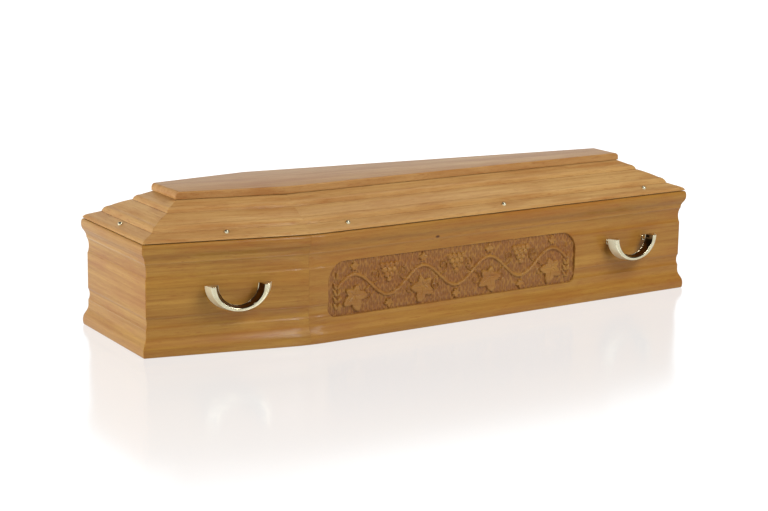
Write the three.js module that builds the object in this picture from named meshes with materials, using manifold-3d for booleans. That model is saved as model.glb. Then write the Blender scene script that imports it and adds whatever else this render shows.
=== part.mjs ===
// A six-sided wooden coffin: moulded walls, a raised stepped lid with a flat top board,
// four cast handles, lid screws, and a vine carved in a sunk field on its front.
// Millimetres, +Z up. The origin lies under the middle of the plan, on the floor. The head
// end looks towards -X and the carved front towards -Y.
import * as THREE from "three";
import { mergeVertices } from "three/addons/utils/BufferGeometryUtils.js";
import Module from "manifold-3d";

const wasm = await Module();
wasm.setup();

// Plan, measured over the lip that runs round the top of the walls
const OUTLINE_LENGTH = 2000;
const HEAD_WIDTH = 472;
const SHOULDER_WIDTH = 646;
const FOOT_WIDTH = 450;
const SHOULDER_FROM_HEAD = 505;

// Walls and bottom
const BODY_HEIGHT = 335;
const PLANK_THICKNESS = 35;
const BOTTOM_THICKNESS = 20;
const JOINT_GAP = 0.3;

// Wall mouldings: depths behind the lip, heights above the floor, drops below the wall's top
const PANEL_DEPTH = 14.3;
const COVE_DEPTH = 3.6;
const BASE_EASE = 4;
const BASE_NOSE_HEIGHT = 15;
const BASE_MOULDING_TOP = 66;
const LOWER_COVE_FOOT = 80;
const LOWER_COVE_TOP = 116;
const UPPER_COVE_DROP = 107;
const LIP_FOOT_DROP = 61;
const LIP_QUIRK = 1.6;
const LIP_QUIRK_HEIGHT = 3;
const LIP_NOSE_DROP = 17;
const LIP_TOP_EASE = 7;
const CURVE_STEPS = 6;

// Lid mouldings, from the outer edge inwards: each stretch has a width and a rise
const LID_EDGE_INSET = 4;
const LID_NOSE_WIDTH = 14;
const LID_NOSE_RISE = 14.5;
const LEDGE_WIDTH = 33;
const LEDGE_RISE = 11;
const LOWER_STEP_WIDTH = 19;
const LOWER_STEP_RISE = 17.5;
const TERRACE_WIDTH = 57;
const TERRACE_RISE = 23.5;
const UPPER_STEP_WIDTH = 17;
const UPPER_STEP_RISE = 15;
const SLOPE_WIDTH = 34;
const SLOPE_RISE = 14.5;
const SEAT_WIDTH = 30;
const SEAT_THICKNESS = 16;
const LID_FOOT_WIDTH = 34;
const SHADOW_GAP_DEPTH = 9;
const SHADOW_GAP_HEIGHT = 2.5;

// How full the lid's curves are, as shares of their width or rise
const NOSE_RUN = 0.4;
const NOSE_LEVEL = 0.85;
const STEP_START = 1 / 12;
const STEP_LEVEL = 0.95;
const TERRACE_SAG = 0.35;

// Top board of the lid
const BOARD_OVERHANG = 5;
const BOARD_THICKNESS = 23;
const BOARD_END_ROUND = 14;
const BOARD_SIDE_ROUND = 4;
const BOARD_ROUND_STEPS = 5;

// Handles: a crescent bar on two posts, one casting
const HANDLE_FROM_HEAD = 281;
const HANDLE_FROM_FOOT = 255;
const HANDLE_DROP = 20;
const HANDLE_WIDTH = 205;
const HANDLE_HEIGHT = 80;
const BAR_END_WIDTH = 41;
const BAR_MIDDLE_WIDTH = 16;
const BAR_DEPTH = 27;
const BAR_INNER_LEAN = { middle: 4, end: 12 };
const BAR_OUTER_LEAN = { middle: 3, end: 14 };
const BAR_EASE = 2.5;
const BAR_STEPS = 12;
const FINGER_GAP = 26;
const POST_RADIUS = 6.5;
const POST_DROP = 16;
const POST_INSET = 4;
const POST_SIDES = 6;
const POST_ROOT = 3;
const FLANGE_RADIUS = 9.5;
const FLANGE_THICKNESS = 3;

// Lid screws, set upright in spot-faced holes on the ledge
const SCREW_INSET = 33;
const SCREW_FROM_HEAD = 262;
const SCREW_PAST_SHOULDER = 145;
const SCREW_FROM_FOOT = 169;
const SCREW_HEAD_RADIUS = 8;
const SCREW_HEAD_RIM = 5;
const SCREW_DOME = 5;
const SCREW_SPOT_DEPTH = 3;
const SCREW_SHANK_RADIUS = 3;
const SCREW_LENGTH = 34;
const SCREW_SIDES = 8;
const SCREW_CLEARANCE = 0.3;

// Carved field on the front plank of the foot side
const FIELD_PAST_SHOULDER = 68;
const FIELD_LENGTH = 959;
const FIELD_BOTTOM = 72;
const FIELD_DROP = 93;
const FIELD_CORNER = 60;
const FIELD_LOW_CORNER = 26;
const FIELD_DEPTH = 6;
const CARVING_ROOT = 1.5;

// Vine in the carved field
const VINE_HALF_WAVES = 6;
const VINE_MARGIN = 96;
const VINE_SWING = 38;
const VINE_THICKNESS = 10;
const VINE_RISE = 4.5;
const VINE_CREST = 0.45;
const VINE_STEPS_PER_HALF_WAVE = 6;
const MOTIF_SHIFT = 27;
const LEAF_RADIUS = 54;
const LEAF_LOBES = 5;
const LEAF_RISE = 5.6;
const LEAF_LEAN = 0.3;
const LEAFLET_RADIUS = 20;
const LEAFLET_LOBES = 5;
const LEAFLET_RISE = 4.4;
const LEAFLET_OVERLAP = 2;
const LEAF_POINTS_PER_LOBE = 4;
const LEAF_NOTCH = 0.56;
const LEAF_TIP = 0.2;
const GRAPE_RADIUS = 9.4;
const GRAPE_RISE = 5.8;
const GRAPE_ROWS = 4;
const GRAPE_PITCH = 17.4;
const GRAPE_ROW_PITCH = 15;
const BERRY_SIDES = 6;
const BERRY_BANDS = 3;
const EAR_INSET = 34;
const EAR_LENGTH = 104;
const EAR_GRAINS = 4;
const GRAIN_LENGTH = 25;
const GRAIN_WIDTH = 10;
const GRAIN_RISE = 5;
const GRAIN_SPREAD = 7;
const GRAIN_LEAN = 0.5;
const EAR_FOOT = 64.5;

// Finishes
const HONEY_WOOD = 0xb5854e;
const PALE_BRASS = 0xd9d2a6;
const WOOD_ROUGHNESS = 0.42;
const BRASS_ROUGHNESS = 0.16;

// Corners of the plan, counterclockwise from the front of the head end.
const CORNERS = [
  new THREE.Vector2(-OUTLINE_LENGTH / 2, -HEAD_WIDTH / 2),
  new THREE.Vector2(-OUTLINE_LENGTH / 2 + SHOULDER_FROM_HEAD, -SHOULDER_WIDTH / 2),
  new THREE.Vector2(OUTLINE_LENGTH / 2, -FOOT_WIDTH / 2),
  new THREE.Vector2(OUTLINE_LENGTH / 2, FOOT_WIDTH / 2),
  new THREE.Vector2(-OUTLINE_LENGTH / 2 + SHOULDER_FROM_HEAD, SHOULDER_WIDTH / 2),
  new THREE.Vector2(-OUTLINE_LENGTH / 2, HEAD_WIDTH / 2),
];

// The side that starts at each corner, by name.
const SIDE_ORDER = ["frontHead", "frontFoot", "foot", "backFoot", "backHead", "head"];
const SIDES = Object.fromEntries(SIDE_ORDER.map((name, i) => [name, i]));
const END_SIDES = [SIDES.foot, SIDES.head];

function sideDirection(side) {
  const next = CORNERS[(side + 1) % CORNERS.length];
  return next.clone().sub(CORNERS[side]).normalize();
}

// Where side and the side before it meet, when each is moved inwards by its own inset.
function insetCorner(side, insetOf) {
  const before = (side + CORNERS.length - 1) % CORNERS.length;
  const along = sideDirection(side);
  const alongBefore = sideDirection(before);
  const corner = CORNERS[side];
  const inset = insetOf(side);
  const insetBefore = insetOf(before);
  const turn = alongBefore.cross(along);
  const shift = (insetBefore - inset * alongBefore.dot(along)) / turn;
  return new THREE.Vector2(
    corner.x - along.y * inset + along.x * shift,
    corner.y + along.x * inset + along.y * shift,
  );
}

// The point of a side, moved inwards by inset, that stands at the given x.
function pointAtX(side, x, inset) {
  const along = sideDirection(side);
  const start = CORNERS[side];
  const y = start.y + along.x * inset;
  return new THREE.Vector2(x, y + ((x - start.x + along.y * inset) * along.y) / along.x);
}

// A frame on a wall: x along the side, y up, z out of the wall.
function wallMatrix(side, x, height, inset) {
  const along = sideDirection(side);
  const place = pointAtX(side, x, inset);
  return new THREE.Matrix4()
    .makeBasis(
      new THREE.Vector3(along.x, along.y, 0),
      new THREE.Vector3(0, 0, 1),
      new THREE.Vector3(along.y, -along.x, 0),
    )
    .setPosition(place.x, place.y, height);
}

function geometryOf(vertices, triangles) {
  const geometry = new THREE.BufferGeometry();
  geometry.setAttribute("position", new THREE.Float32BufferAttribute(vertices, 3));
  geometry.setIndex(triangles);
  return geometry;
}

function solidOf(geometry) {
  const bare = geometry.clone();
  bare.deleteAttribute("normal");
  bare.deleteAttribute("uv");
  const merged = mergeVertices(bare);
  return new wasm.Manifold(
    new wasm.Mesh({
      numProp: 3,
      vertProperties: new Float32Array(merged.getAttribute("position").array),
      triVerts: new Uint32Array(merged.index.array),
    }),
  );
}

function geometryOfSolid(solid) {
  const mesh = solid.getMesh();
  return geometryOf(Array.from(mesh.vertProperties), Array.from(mesh.triVerts));
}

// Walks round a closed outline and gives each point with the next one.
function eachEdge(count, visit) {
  for (let i = 0; i < count; i += 1) {
    visit(i, (i + 1) % count);
  }
}

// A solid through rings of equal length, each counterclockwise seen from the last one, with
// flat ends.
function loft(rings, endFaces) {
  const count = rings[0].length;
  const vertices = rings.flat().flatMap((point) => [point.x, point.y, point.z]);
  const triangles = [];
  for (let ring = 0; ring + 1 < rings.length; ring += 1) {
    const lower = ring * count;
    const upper = lower + count;
    eachEdge(count, (i, j) => {
      triangles.push(lower + i, lower + j, upper + j);
      triangles.push(lower + i, upper + j, upper + i);
    });
  }
  const last = (rings.length - 1) * count;
  for (const [a, b, c] of endFaces) {
    triangles.push(a, c, b);
    triangles.push(last + a, last + b, last + c);
  }
  return geometryOf(vertices, triangles);
}

// Outline of a path as separate points, counterclockwise.
function sectionOf(path) {
  const points = path.getPoints(CURVE_STEPS);
  const kept = points.filter((point, i) => i === 0 || point.distanceTo(points[i - 1]) > 1e-6);
  return THREE.ShapeUtils.isClockWise(kept) ? kept.reverse() : kept;
}

// A length of moulding between the mitres at the two ends of a side. Its section holds
// insets from the plan's outline as x, and heights as y.
function mitredMoulding(side, section, lift) {
  const along = sideDirection(side);
  const end = (side + 1) % CORNERS.length;
  const ringAt = (corner, shift) =>
    section.map((point) => {
      const place = insetCorner(corner, () => point.x).addScaledVector(along, shift);
      return new THREE.Vector3(place.x, place.y, point.y + lift);
    });
  const faces = THREE.ShapeUtils.triangulateShape(section, []);
  return loft([ringAt(side, JOINT_GAP / 2), ringAt(end, -JOINT_GAP / 2)], faces);
}

// A flat board over the whole plan. Its layers hold a height and the insets of the long
// sides and of the ends.
function flatBoard(layers) {
  const rings = layers.map(({ height, sideInset, endInset }) =>
    CORNERS.map((_, corner) => {
      const insetOf = (side) => (END_SIDES.includes(side) ? endInset : sideInset);
      const place = insetCorner(corner, insetOf);
      return new THREE.Vector3(place.x, place.y, height);
    }),
  );
  return loft(rings, THREE.ShapeUtils.triangulateShape(CORNERS, []));
}

// An S-shaped moulding from the path's end to a new point, upright at both.
function ogee(path, inset, height) {
  const from = path.currentPoint;
  const middle = (from.y + height) / 2;
  path.bezierCurveTo(from.x, middle, inset, middle, inset, height);
}

// A hollow moulding of a given depth from the path's end to a new point.
function cove(path, depth, inset, height) {
  const from = path.currentPoint;
  const floor = Math.max(from.x, inset) + (depth * 4) / 3;
  const quarter = (height - from.y) / 4;
  path.bezierCurveTo(floor, from.y + quarter, floor, height - quarter, inset, height);
}

// A quarter round from the path's end: it starts steep and ends nearly flat.
function quarterRound(path, width, rise) {
  const { x, y } = path.currentPoint;
  path.bezierCurveTo(
    x + width * STEP_START,
    y + rise / 2,
    x + width / 2,
    y + rise * STEP_LEVEL,
    x + width,
    y + rise,
  );
}

function wallSection() {
  const path = new THREE.Path();
  path.moveTo(PLANK_THICKNESS, 0);
  path.lineTo(BASE_EASE, 0);
  path.quadraticCurveTo(0, 0, 0, BASE_NOSE_HEIGHT);
  ogee(path, PANEL_DEPTH, BASE_MOULDING_TOP);
  path.lineTo(PANEL_DEPTH, LOWER_COVE_FOOT);
  cove(path, COVE_DEPTH, PANEL_DEPTH, LOWER_COVE_TOP);
  path.lineTo(PANEL_DEPTH, BODY_HEIGHT - UPPER_COVE_DROP);
  cove(path, COVE_DEPTH, PANEL_DEPTH, BODY_HEIGHT - LIP_FOOT_DROP);
  path.lineTo(PANEL_DEPTH - LIP_QUIRK, BODY_HEIGHT - LIP_FOOT_DROP + LIP_QUIRK_HEIGHT);
  ogee(path, 0, BODY_HEIGHT - LIP_NOSE_DROP);
  path.quadraticCurveTo(0, BODY_HEIGHT, LIP_TOP_EASE, BODY_HEIGHT);
  path.lineTo(PLANK_THICKNESS, BODY_HEIGHT);
  return sectionOf(path);
}

const LEDGE_INSET = LID_EDGE_INSET + LID_NOSE_WIDTH;
const STEP_INSET = LEDGE_INSET + LEDGE_WIDTH;
const TERRACE_INSET = STEP_INSET + LOWER_STEP_WIDTH;
const UPPER_STEP_INSET = TERRACE_INSET + TERRACE_WIDTH;
const SEAT_INSET = UPPER_STEP_INSET + UPPER_STEP_WIDTH + SLOPE_WIDTH;
const LEDGE_TOP = LID_NOSE_RISE + LEDGE_RISE;
const TERRACE_TOP = LEDGE_TOP + LOWER_STEP_RISE + TERRACE_RISE;
const FRAME_RISE = TERRACE_TOP + UPPER_STEP_RISE + SLOPE_RISE;
const LID_BASE = BODY_HEIGHT + JOINT_GAP;
const BOARD_BASE = LID_BASE + FRAME_RISE + JOINT_GAP;

function lidSection() {
  const path = new THREE.Path();
  path.moveTo(LID_EDGE_INSET + LID_FOOT_WIDTH, 0);
  path.lineTo(LID_EDGE_INSET + SHADOW_GAP_DEPTH, 0);
  path.lineTo(LID_EDGE_INSET + SHADOW_GAP_DEPTH, SHADOW_GAP_HEIGHT);
  path.lineTo(LID_EDGE_INSET, SHADOW_GAP_HEIGHT);
  path.bezierCurveTo(
    LID_EDGE_INSET,
    LID_NOSE_RISE / 2,
    LID_EDGE_INSET + LID_NOSE_WIDTH * NOSE_RUN,
    LID_NOSE_RISE * NOSE_LEVEL,
    LEDGE_INSET,
    LID_NOSE_RISE,
  );
  path.lineTo(STEP_INSET, LEDGE_TOP);
  quarterRound(path, LOWER_STEP_WIDTH, LOWER_STEP_RISE);
  path.quadraticCurveTo(
    TERRACE_INSET + TERRACE_WIDTH / 2,
    TERRACE_TOP - TERRACE_RISE * TERRACE_SAG,
    UPPER_STEP_INSET,
    TERRACE_TOP,
  );
  quarterRound(path, UPPER_STEP_WIDTH, UPPER_STEP_RISE);
  path.lineTo(SEAT_INSET, FRAME_RISE);
  path.lineTo(SEAT_INSET + SEAT_WIDTH, FRAME_RISE);
  path.lineTo(SEAT_INSET + SEAT_WIDTH, FRAME_RISE - SEAT_THICKNESS);
  return sectionOf(path);
}

function ledgeHeight(inset) {
  return LID_BASE + LID_NOSE_RISE + ((inset - LEDGE_INSET) * LEDGE_RISE) / LEDGE_WIDTH;
}

function bottomBoard() {
  const inset = PLANK_THICKNESS + JOINT_GAP;
  return flatBoard([
    { height: 0, sideInset: inset, endInset: inset },
    { height: BOTTOM_THICKNESS, sideInset: inset, endInset: inset },
  ]);
}

// How far an edge rounded by radius has drawn in at a height of the top board.
function roundedInset(height, radius) {
  const rise = Math.max(0, height - (BOARD_THICKNESS - radius));
  return radius - Math.sqrt(Math.max(0, radius * radius - rise * rise));
}

function topBoard() {
  const inset = SEAT_INSET - BOARD_OVERHANG;
  const heights = [0];
  for (let step = 0; step <= BOARD_ROUND_STEPS; step += 1) {
    const turn = (Math.PI / 2) * (step / BOARD_ROUND_STEPS);
    heights.push(BOARD_THICKNESS - BOARD_END_ROUND * (1 - Math.sin(turn)));
  }
  return flatBoard(
    heights.map((height) => ({
      height: BOARD_BASE + height,
      sideInset: inset + roundedInset(height, BOARD_SIDE_ROUND),
      endInset: inset + roundedInset(height, BOARD_END_ROUND),
    })),
  );
}

// A round solid about the y axis through (radius, height) pairs, from bottom to top, and
// turned to stand along z.
function turned(profile, sides) {
  const points = profile.map(([radius, height]) => new THREE.Vector2(radius, height));
  return new THREE.LatheGeometry(points, sides).rotateX(Math.PI / 2);
}

// A size of the crescent bar at a place along its half turn.
function barSize({ middle, end }, turn) {
  return middle + (end - middle) * Math.cos(turn) ** 2;
}

// The bar's section as (outward, off the wall) pairs: both sides lean in to a narrower
// front, and all corners are eased.
function barSection(turn) {
  const half = barSize({ middle: BAR_MIDDLE_WIDTH, end: BAR_END_WIDTH }, turn) / 2;
  const corners = [
    new THREE.Vector2(half, 0),
    new THREE.Vector2(half - barSize(BAR_OUTER_LEAN, turn), BAR_DEPTH),
    new THREE.Vector2(barSize(BAR_INNER_LEAN, turn) - half, BAR_DEPTH),
    new THREE.Vector2(-half, 0),
  ];
  return corners.flatMap((corner, i) => {
    const before = corners[(i + corners.length - 1) % corners.length];
    const after = corners[(i + 1) % corners.length];
    return [before, after].map((other) =>
      corner.clone().addScaledVector(other.clone().sub(corner).normalize(), BAR_EASE),
    );
  });
}

const BAR_REACH = (HANDLE_WIDTH - BAR_END_WIDTH) / 2;

// The crescent hangs from y = 0, with its back a finger's gap off the wall at z = 0.
function crescentBar() {
  const drop = HANDLE_HEIGHT - BAR_MIDDLE_WIDTH / 2;
  const rings = [];
  for (let step = 0; step <= BAR_STEPS; step += 1) {
    const turn = (Math.PI * step) / BAR_STEPS;
    const centre = new THREE.Vector2(BAR_REACH * Math.cos(turn), -drop * Math.sin(turn));
    const outward = new THREE.Vector2(drop * Math.cos(turn), -BAR_REACH * Math.sin(turn)).normalize();
    rings.push(
      barSection(turn).map((point) => {
        const place = centre.clone().addScaledVector(outward, point.x);
        return new THREE.Vector3(place.x, place.y, FINGER_GAP + point.y);
      }),
    );
  }
  const flat = rings[0].map((point) => new THREE.Vector2(point.x, point.z));
  return loft(rings, THREE.ShapeUtils.triangulateShape(flat, []));
}

function handlePost() {
  return turned(
    [
      [0, 0],
      [FLANGE_RADIUS, 0],
      [FLANGE_RADIUS, FLANGE_THICKNESS / 2],
      [POST_RADIUS, FLANGE_THICKNESS],
      [POST_RADIUS, FINGER_GAP + POST_ROOT],
      [0, FINGER_GAP + POST_ROOT],
    ],
    POST_SIDES,
  );
}

function handle() {
  let casting = solidOf(crescentBar());
  for (const end of [-1, 1]) {
    const post = handlePost().translate(end * (BAR_REACH - POST_INSET), -POST_DROP, 0);
    casting = casting.add(solidOf(post));
  }
  return geometryOfSolid(casting);
}

// The screw's origin is the middle of its head's seat.
function lidScrew() {
  return turned(
    [
      [0, -SCREW_LENGTH],
      [SCREW_SHANK_RADIUS, -SCREW_LENGTH + SCREW_SHANK_RADIUS],
      [SCREW_SHANK_RADIUS, 0],
      [SCREW_HEAD_RADIUS, 0],
      [SCREW_HEAD_RADIUS, SCREW_HEAD_RIM],
      [SCREW_HEAD_RADIUS * Math.cos(Math.PI / 4), SCREW_HEAD_RIM + SCREW_DOME * Math.sin(Math.PI / 4)],
      [0, SCREW_HEAD_RIM + SCREW_DOME],
    ],
    SCREW_SIDES,
  );
}

// The room that a screw takes: a spot face for its head, and a bore for its shank.
function screwRoom() {
  const seat = -SCREW_CLEARANCE;
  const wide = SCREW_HEAD_RADIUS + SCREW_CLEARANCE;
  const narrow = SCREW_SHANK_RADIUS + SCREW_CLEARANCE;
  return turned(
    [
      [0, -SCREW_LENGTH - SCREW_CLEARANCE],
      [narrow, -SCREW_LENGTH - SCREW_CLEARANCE],
      [narrow, seat],
      [wide, seat],
      [wide, LEDGE_TOP],
      [0, LEDGE_TOP],
    ],
    SCREW_SIDES,
  );
}

function screwPlace(side, x) {
  const place = pointAtX(side, x, SCREW_INSET);
  return new THREE.Vector3(place.x, place.y, ledgeHeight(SCREW_INSET) - SCREW_SPOT_DEPTH);
}

// Screws on the long sides, numbered from the head, and one in the middle of each end.
function screwPlaces() {
  const headEnd = -OUTLINE_LENGTH / 2;
  const second = headEnd + SHOULDER_FROM_HEAD + SCREW_PAST_SHOULDER;
  const last = OUTLINE_LENGTH / 2 - SCREW_FROM_FOOT;
  const stations = [headEnd + SCREW_FROM_HEAD, second, (second + last) / 2, last];
  const places = [];
  const rows = [
    ["front", SIDES.frontHead, SIDES.frontFoot],
    ["back", SIDES.backHead, SIDES.backFoot],
  ];
  for (const [row, headSide, footSide] of rows) {
    stations.forEach((x, i) => {
      const side = x < headEnd + SHOULDER_FROM_HEAD ? headSide : footSide;
      places.push({ name: `lid_screw_${row}_${i + 1}`, side, at: screwPlace(side, x) });
    });
  }
  for (const [name, side] of [
    ["lid_screw_head", SIDES.head],
    ["lid_screw_foot", SIDES.foot],
  ]) {
    const middle = CORNERS[side].clone().add(CORNERS[(side + 1) % CORNERS.length]).divideScalar(2);
    const inwards = -Math.sign(middle.x) * SCREW_INSET;
    const height = ledgeHeight(SCREW_INSET) - SCREW_SPOT_DEPTH;
    places.push({ name, side, at: new THREE.Vector3(middle.x + inwards, middle.y, height) });
  }
  return places;
}

// Takes the room of every screw on a side out of that side's moulding or plank.
function drilled(geometry, side) {
  let solid = solidOf(geometry);
  for (const place of screwPlaces().filter((screw) => screw.side === side)) {
    const room = screwRoom().translate(place.at.x, place.at.y, place.at.z);
    solid = solid.subtract(solidOf(room));
  }
  return geometryOfSolid(solid);
}

const FIELD_HEIGHT = BODY_HEIGHT - FIELD_DROP - FIELD_BOTTOM;

// The sunk field has wide upper corners and narrow lower ones. Its origin is its middle.
function fieldShape() {
  const right = FIELD_LENGTH / 2;
  const top = FIELD_HEIGHT / 2;
  const low = FIELD_LOW_CORNER;
  const high = FIELD_CORNER;
  const quarter = Math.PI / 2;
  const shape = new THREE.Shape();
  shape.absarc(right - low, low - top, low, -quarter, 0, false);
  shape.absarc(right - high, top - high, high, 0, quarter, false);
  shape.absarc(high - right, top - high, high, quarter, 2 * quarter, false);
  shape.absarc(low - right, low - top, low, 2 * quarter, 3 * quarter, false);
  return shape;
}

// The rings of a mound: how far out they lie, and how high, as shares.
const MOUND_RIM = { share: 0.97, level: 0.5 };
const MOUND_CREST = { share: 0.55, level: 1 };
const MOUND_HEART = { share: 0.1, level: 0.75 };

// A low mound on the field's ground over a star-shaped outline, a little sunk in its middle.
function mound(outline, rise, rootDepth) {
  const centre = outline
    .reduce((sum, point) => sum.add(point), new THREE.Vector2())
    .divideScalar(outline.length);
  const ring = (share, height) =>
    outline.map((point) => {
      const moved = point.clone().sub(centre).multiplyScalar(share).add(centre);
      return new THREE.Vector3(moved.x, moved.y, height);
    });
  const rings = [
    ring(1, -rootDepth),
    ring(MOUND_RIM.share, rise * MOUND_RIM.level),
    ring(MOUND_CREST.share, rise * MOUND_CREST.level),
    ring(MOUND_HEART.share, rise * MOUND_HEART.level),
  ];
  return loft(rings, THREE.ShapeUtils.triangulateShape(outline, []));
}

// Outline of a leaf with pointed lobes about the origin, the longest in the given direction.
function leafOutline(radius, lobes, direction) {
  const count = lobes * LEAF_POINTS_PER_LOBE;
  const points = [];
  for (let i = 0; i < count; i += 1) {
    const turn = (2 * Math.PI * i) / count;
    const away = (i % LEAF_POINTS_PER_LOBE) / LEAF_POINTS_PER_LOBE;
    const lobe = Math.abs(1 - 2 * away);
    const tip = 1 - LEAF_TIP * (1 - Math.cos(turn));
    const reach = radius * tip * (LEAF_NOTCH + (1 - LEAF_NOTCH) * lobe);
    points.push(
      new THREE.Vector2(reach * Math.cos(turn + direction), reach * Math.sin(turn + direction)),
    );
  }
  return points;
}

function leaf(radius, lobes, rise, direction) {
  return mound(leafOutline(radius, lobes, direction), rise, CARVING_ROOT);
}

// A bunch that hangs from the origin, with one berry less in each lower row.
function grapeBunch() {
  const bunch = [];
  for (let row = 0; row < GRAPE_ROWS; row += 1) {
    const berries = GRAPE_ROWS - row;
    for (let i = 0; i < berries; i += 1) {
      const berry = new THREE.SphereGeometry(GRAPE_RADIUS, BERRY_SIDES, BERRY_BANDS)
        .rotateX(Math.PI / 2)
        .scale(1, 1, GRAPE_RISE / GRAPE_RADIUS)
        .translate((i - (berries - 1) / 2) * GRAPE_PITCH, -row * GRAPE_ROW_PITCH, 0);
      bunch.push(berry);
    }
  }
  return bunch;
}

// An upright ear of wheat from the origin: grains that lean out in pairs, and one at the tip.
function wheatEar() {
  const pitch = EAR_LENGTH / (EAR_GRAINS + 1);
  const grain = (x, y, lean) =>
    new THREE.SphereGeometry(GRAIN_LENGTH / 2, BERRY_SIDES, BERRY_BANDS + 1)
      .scale(GRAIN_WIDTH / GRAIN_LENGTH, 1, (2 * GRAIN_RISE) / GRAIN_LENGTH)
      .rotateZ(lean)
      .translate(x, y, 0);
  const grains = [grain(0, EAR_LENGTH, 0)];
  for (let row = 0; row < EAR_GRAINS; row += 1) {
    const height = (row + 0.5) * pitch;
    grains.push(grain(-GRAIN_SPREAD, height, GRAIN_LEAN));
    grains.push(grain(GRAIN_SPREAD, height, -GRAIN_LEAN));
  }
  return grains;
}

const HALF_WAVE = (FIELD_LENGTH - 2 * VINE_MARGIN) / VINE_HALF_WAVES;

// Height of the vine's stem at a place along the field: a crest at each even motif.
function vineHeight(x) {
  const start = -FIELD_LENGTH / 2 + VINE_MARGIN;
  return VINE_SWING * Math.cos((Math.PI * (x - start)) / HALF_WAVE);
}

// The stem is a low ridge from one ear of wheat to the other.
function vineStem() {
  const reach = FIELD_LENGTH / 2 - EAR_INSET;
  const steps = (VINE_HALF_WAVES + 1) * VINE_STEPS_PER_HALF_WAVE;
  const half = VINE_THICKNESS / 2;
  const rings = [];
  for (let step = 0; step <= steps; step += 1) {
    const x = -reach + (2 * reach * step) / steps;
    const slope = (vineHeight(x + 1) - vineHeight(x - 1)) / 2;
    const across = new THREE.Vector2(-slope, 1).normalize();
    const at = (share, height) =>
      new THREE.Vector3(x + across.x * half * share, vineHeight(x) + across.y * half * share, height);
    rings.push([
      at(1, -CARVING_ROOT),
      at(VINE_CREST, VINE_RISE),
      at(-VINE_CREST, VINE_RISE),
      at(-1, -CARVING_ROOT),
    ]);
  }
  return loft(rings, [
    [0, 1, 2],
    [0, 2, 3],
  ]);
}

// All raised carving, in the field's own frame.
function carvingPieces() {
  const pieces = [vineStem()];
  for (let motif = 0; motif <= VINE_HALF_WAVES; motif += 1) {
    const x = -FIELD_LENGTH / 2 + VINE_MARGIN + motif * HALF_WAVE;
    const side = motif % 2 === 0 ? -1 : 1;
    const leafletReach = VINE_SWING + VINE_THICKNESS / 2 + LEAFLET_RADIUS - LEAFLET_OVERLAP;
    const leaflet = leaf(LEAFLET_RADIUS, LEAFLET_LOBES, LEAFLET_RISE, (-side * Math.PI) / 2);
    pieces.push(leaflet.translate(x, -side * leafletReach, 0));
    if (motif % 2 === 0) {
      const lean = motif % 4 === 0 ? LEAF_LEAN : -LEAF_LEAN;
      const big = leaf(LEAF_RADIUS, LEAF_LOBES, LEAF_RISE, lean - Math.PI / 2);
      pieces.push(big.translate(x, side * MOTIF_SHIFT, 0));
    } else {
      const top = side * MOTIF_SHIFT + ((GRAPE_ROWS - 1) * GRAPE_ROW_PITCH + GRAPE_RADIUS) / 2;
      pieces.push(...grapeBunch().map((berry) => berry.translate(x, top, 0)));
    }
  }
  for (const end of [-1, 1]) {
    const x = end * (FIELD_LENGTH / 2 - EAR_INSET);
    pieces.push(...wheatEar().map((grain) => grain.translate(x, -EAR_FOOT, 0)));
  }
  return pieces;
}

// The front plank of the foot side, with its sunk field and the carving that stands in it.
function carvedPlank(plank) {
  const x = CORNERS[SIDES.frontFoot].x;
  const along = sideDirection(SIDES.frontFoot);
  const middle = x + (FIELD_PAST_SHOULDER + FIELD_LENGTH / 2) * along.x;
  const ground = PANEL_DEPTH + FIELD_DEPTH;
  const frame = wallMatrix(SIDES.frontFoot, middle, FIELD_BOTTOM + FIELD_HEIGHT / 2, ground);
  const room = new THREE.ExtrudeGeometry(fieldShape(), {
    depth: 2 * ground,
    bevelEnabled: false,
    curveSegments: CURVE_STEPS,
  });
  let solid = solidOf(plank).subtract(solidOf(room.applyMatrix4(frame)));
  for (const piece of carvingPieces()) {
    solid = solid.add(solidOf(piece.applyMatrix4(frame)));
  }
  return geometryOfSolid(solid);
}

const coffin = new THREE.Group();

function addPiece(name, geometry, colour, roughness, metalness) {
  const material = new THREE.MeshStandardMaterial({
    color: colour,
    roughness,
    metalness,
    flatShading: true,
  });
  const mesh = new THREE.Mesh(geometry, material);
  mesh.name = name;
  coffin.add(mesh);
  return mesh;
}

function addWood(name, geometry) {
  return addPiece(name, geometry, HONEY_WOOD, WOOD_ROUGHNESS, 0);
}

function addBrass(name, geometry) {
  return addPiece(name, geometry, PALE_BRASS, BRASS_ROUGHNESS, 1);
}

function addBody() {
  const planks = [
    ["front_head_side_plank", SIDES.frontHead],
    ["front_foot_side_plank", SIDES.frontFoot],
    ["foot_end_plank", SIDES.foot],
    ["back_foot_side_plank", SIDES.backFoot],
    ["back_head_side_plank", SIDES.backHead],
    ["head_end_plank", SIDES.head],
  ];
  addWood("bottom_board", bottomBoard());
  for (const [name, side] of planks) {
    const plain = mitredMoulding(side, wallSection(), 0);
    const plank = side === SIDES.frontFoot ? carvedPlank(plain) : plain;
    addWood(name, drilled(plank, side));
  }
}

function addLid() {
  const mouldings = [
    ["lid_front_head_moulding", SIDES.frontHead],
    ["lid_front_foot_moulding", SIDES.frontFoot],
    ["lid_foot_moulding", SIDES.foot],
    ["lid_back_foot_moulding", SIDES.backFoot],
    ["lid_back_head_moulding", SIDES.backHead],
    ["lid_head_moulding", SIDES.head],
  ];
  for (const [name, side] of mouldings) {
    addWood(name, drilled(mitredMoulding(side, lidSection(), LID_BASE), side));
  }
  addWood("lid_top_board", topBoard());
}

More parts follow.
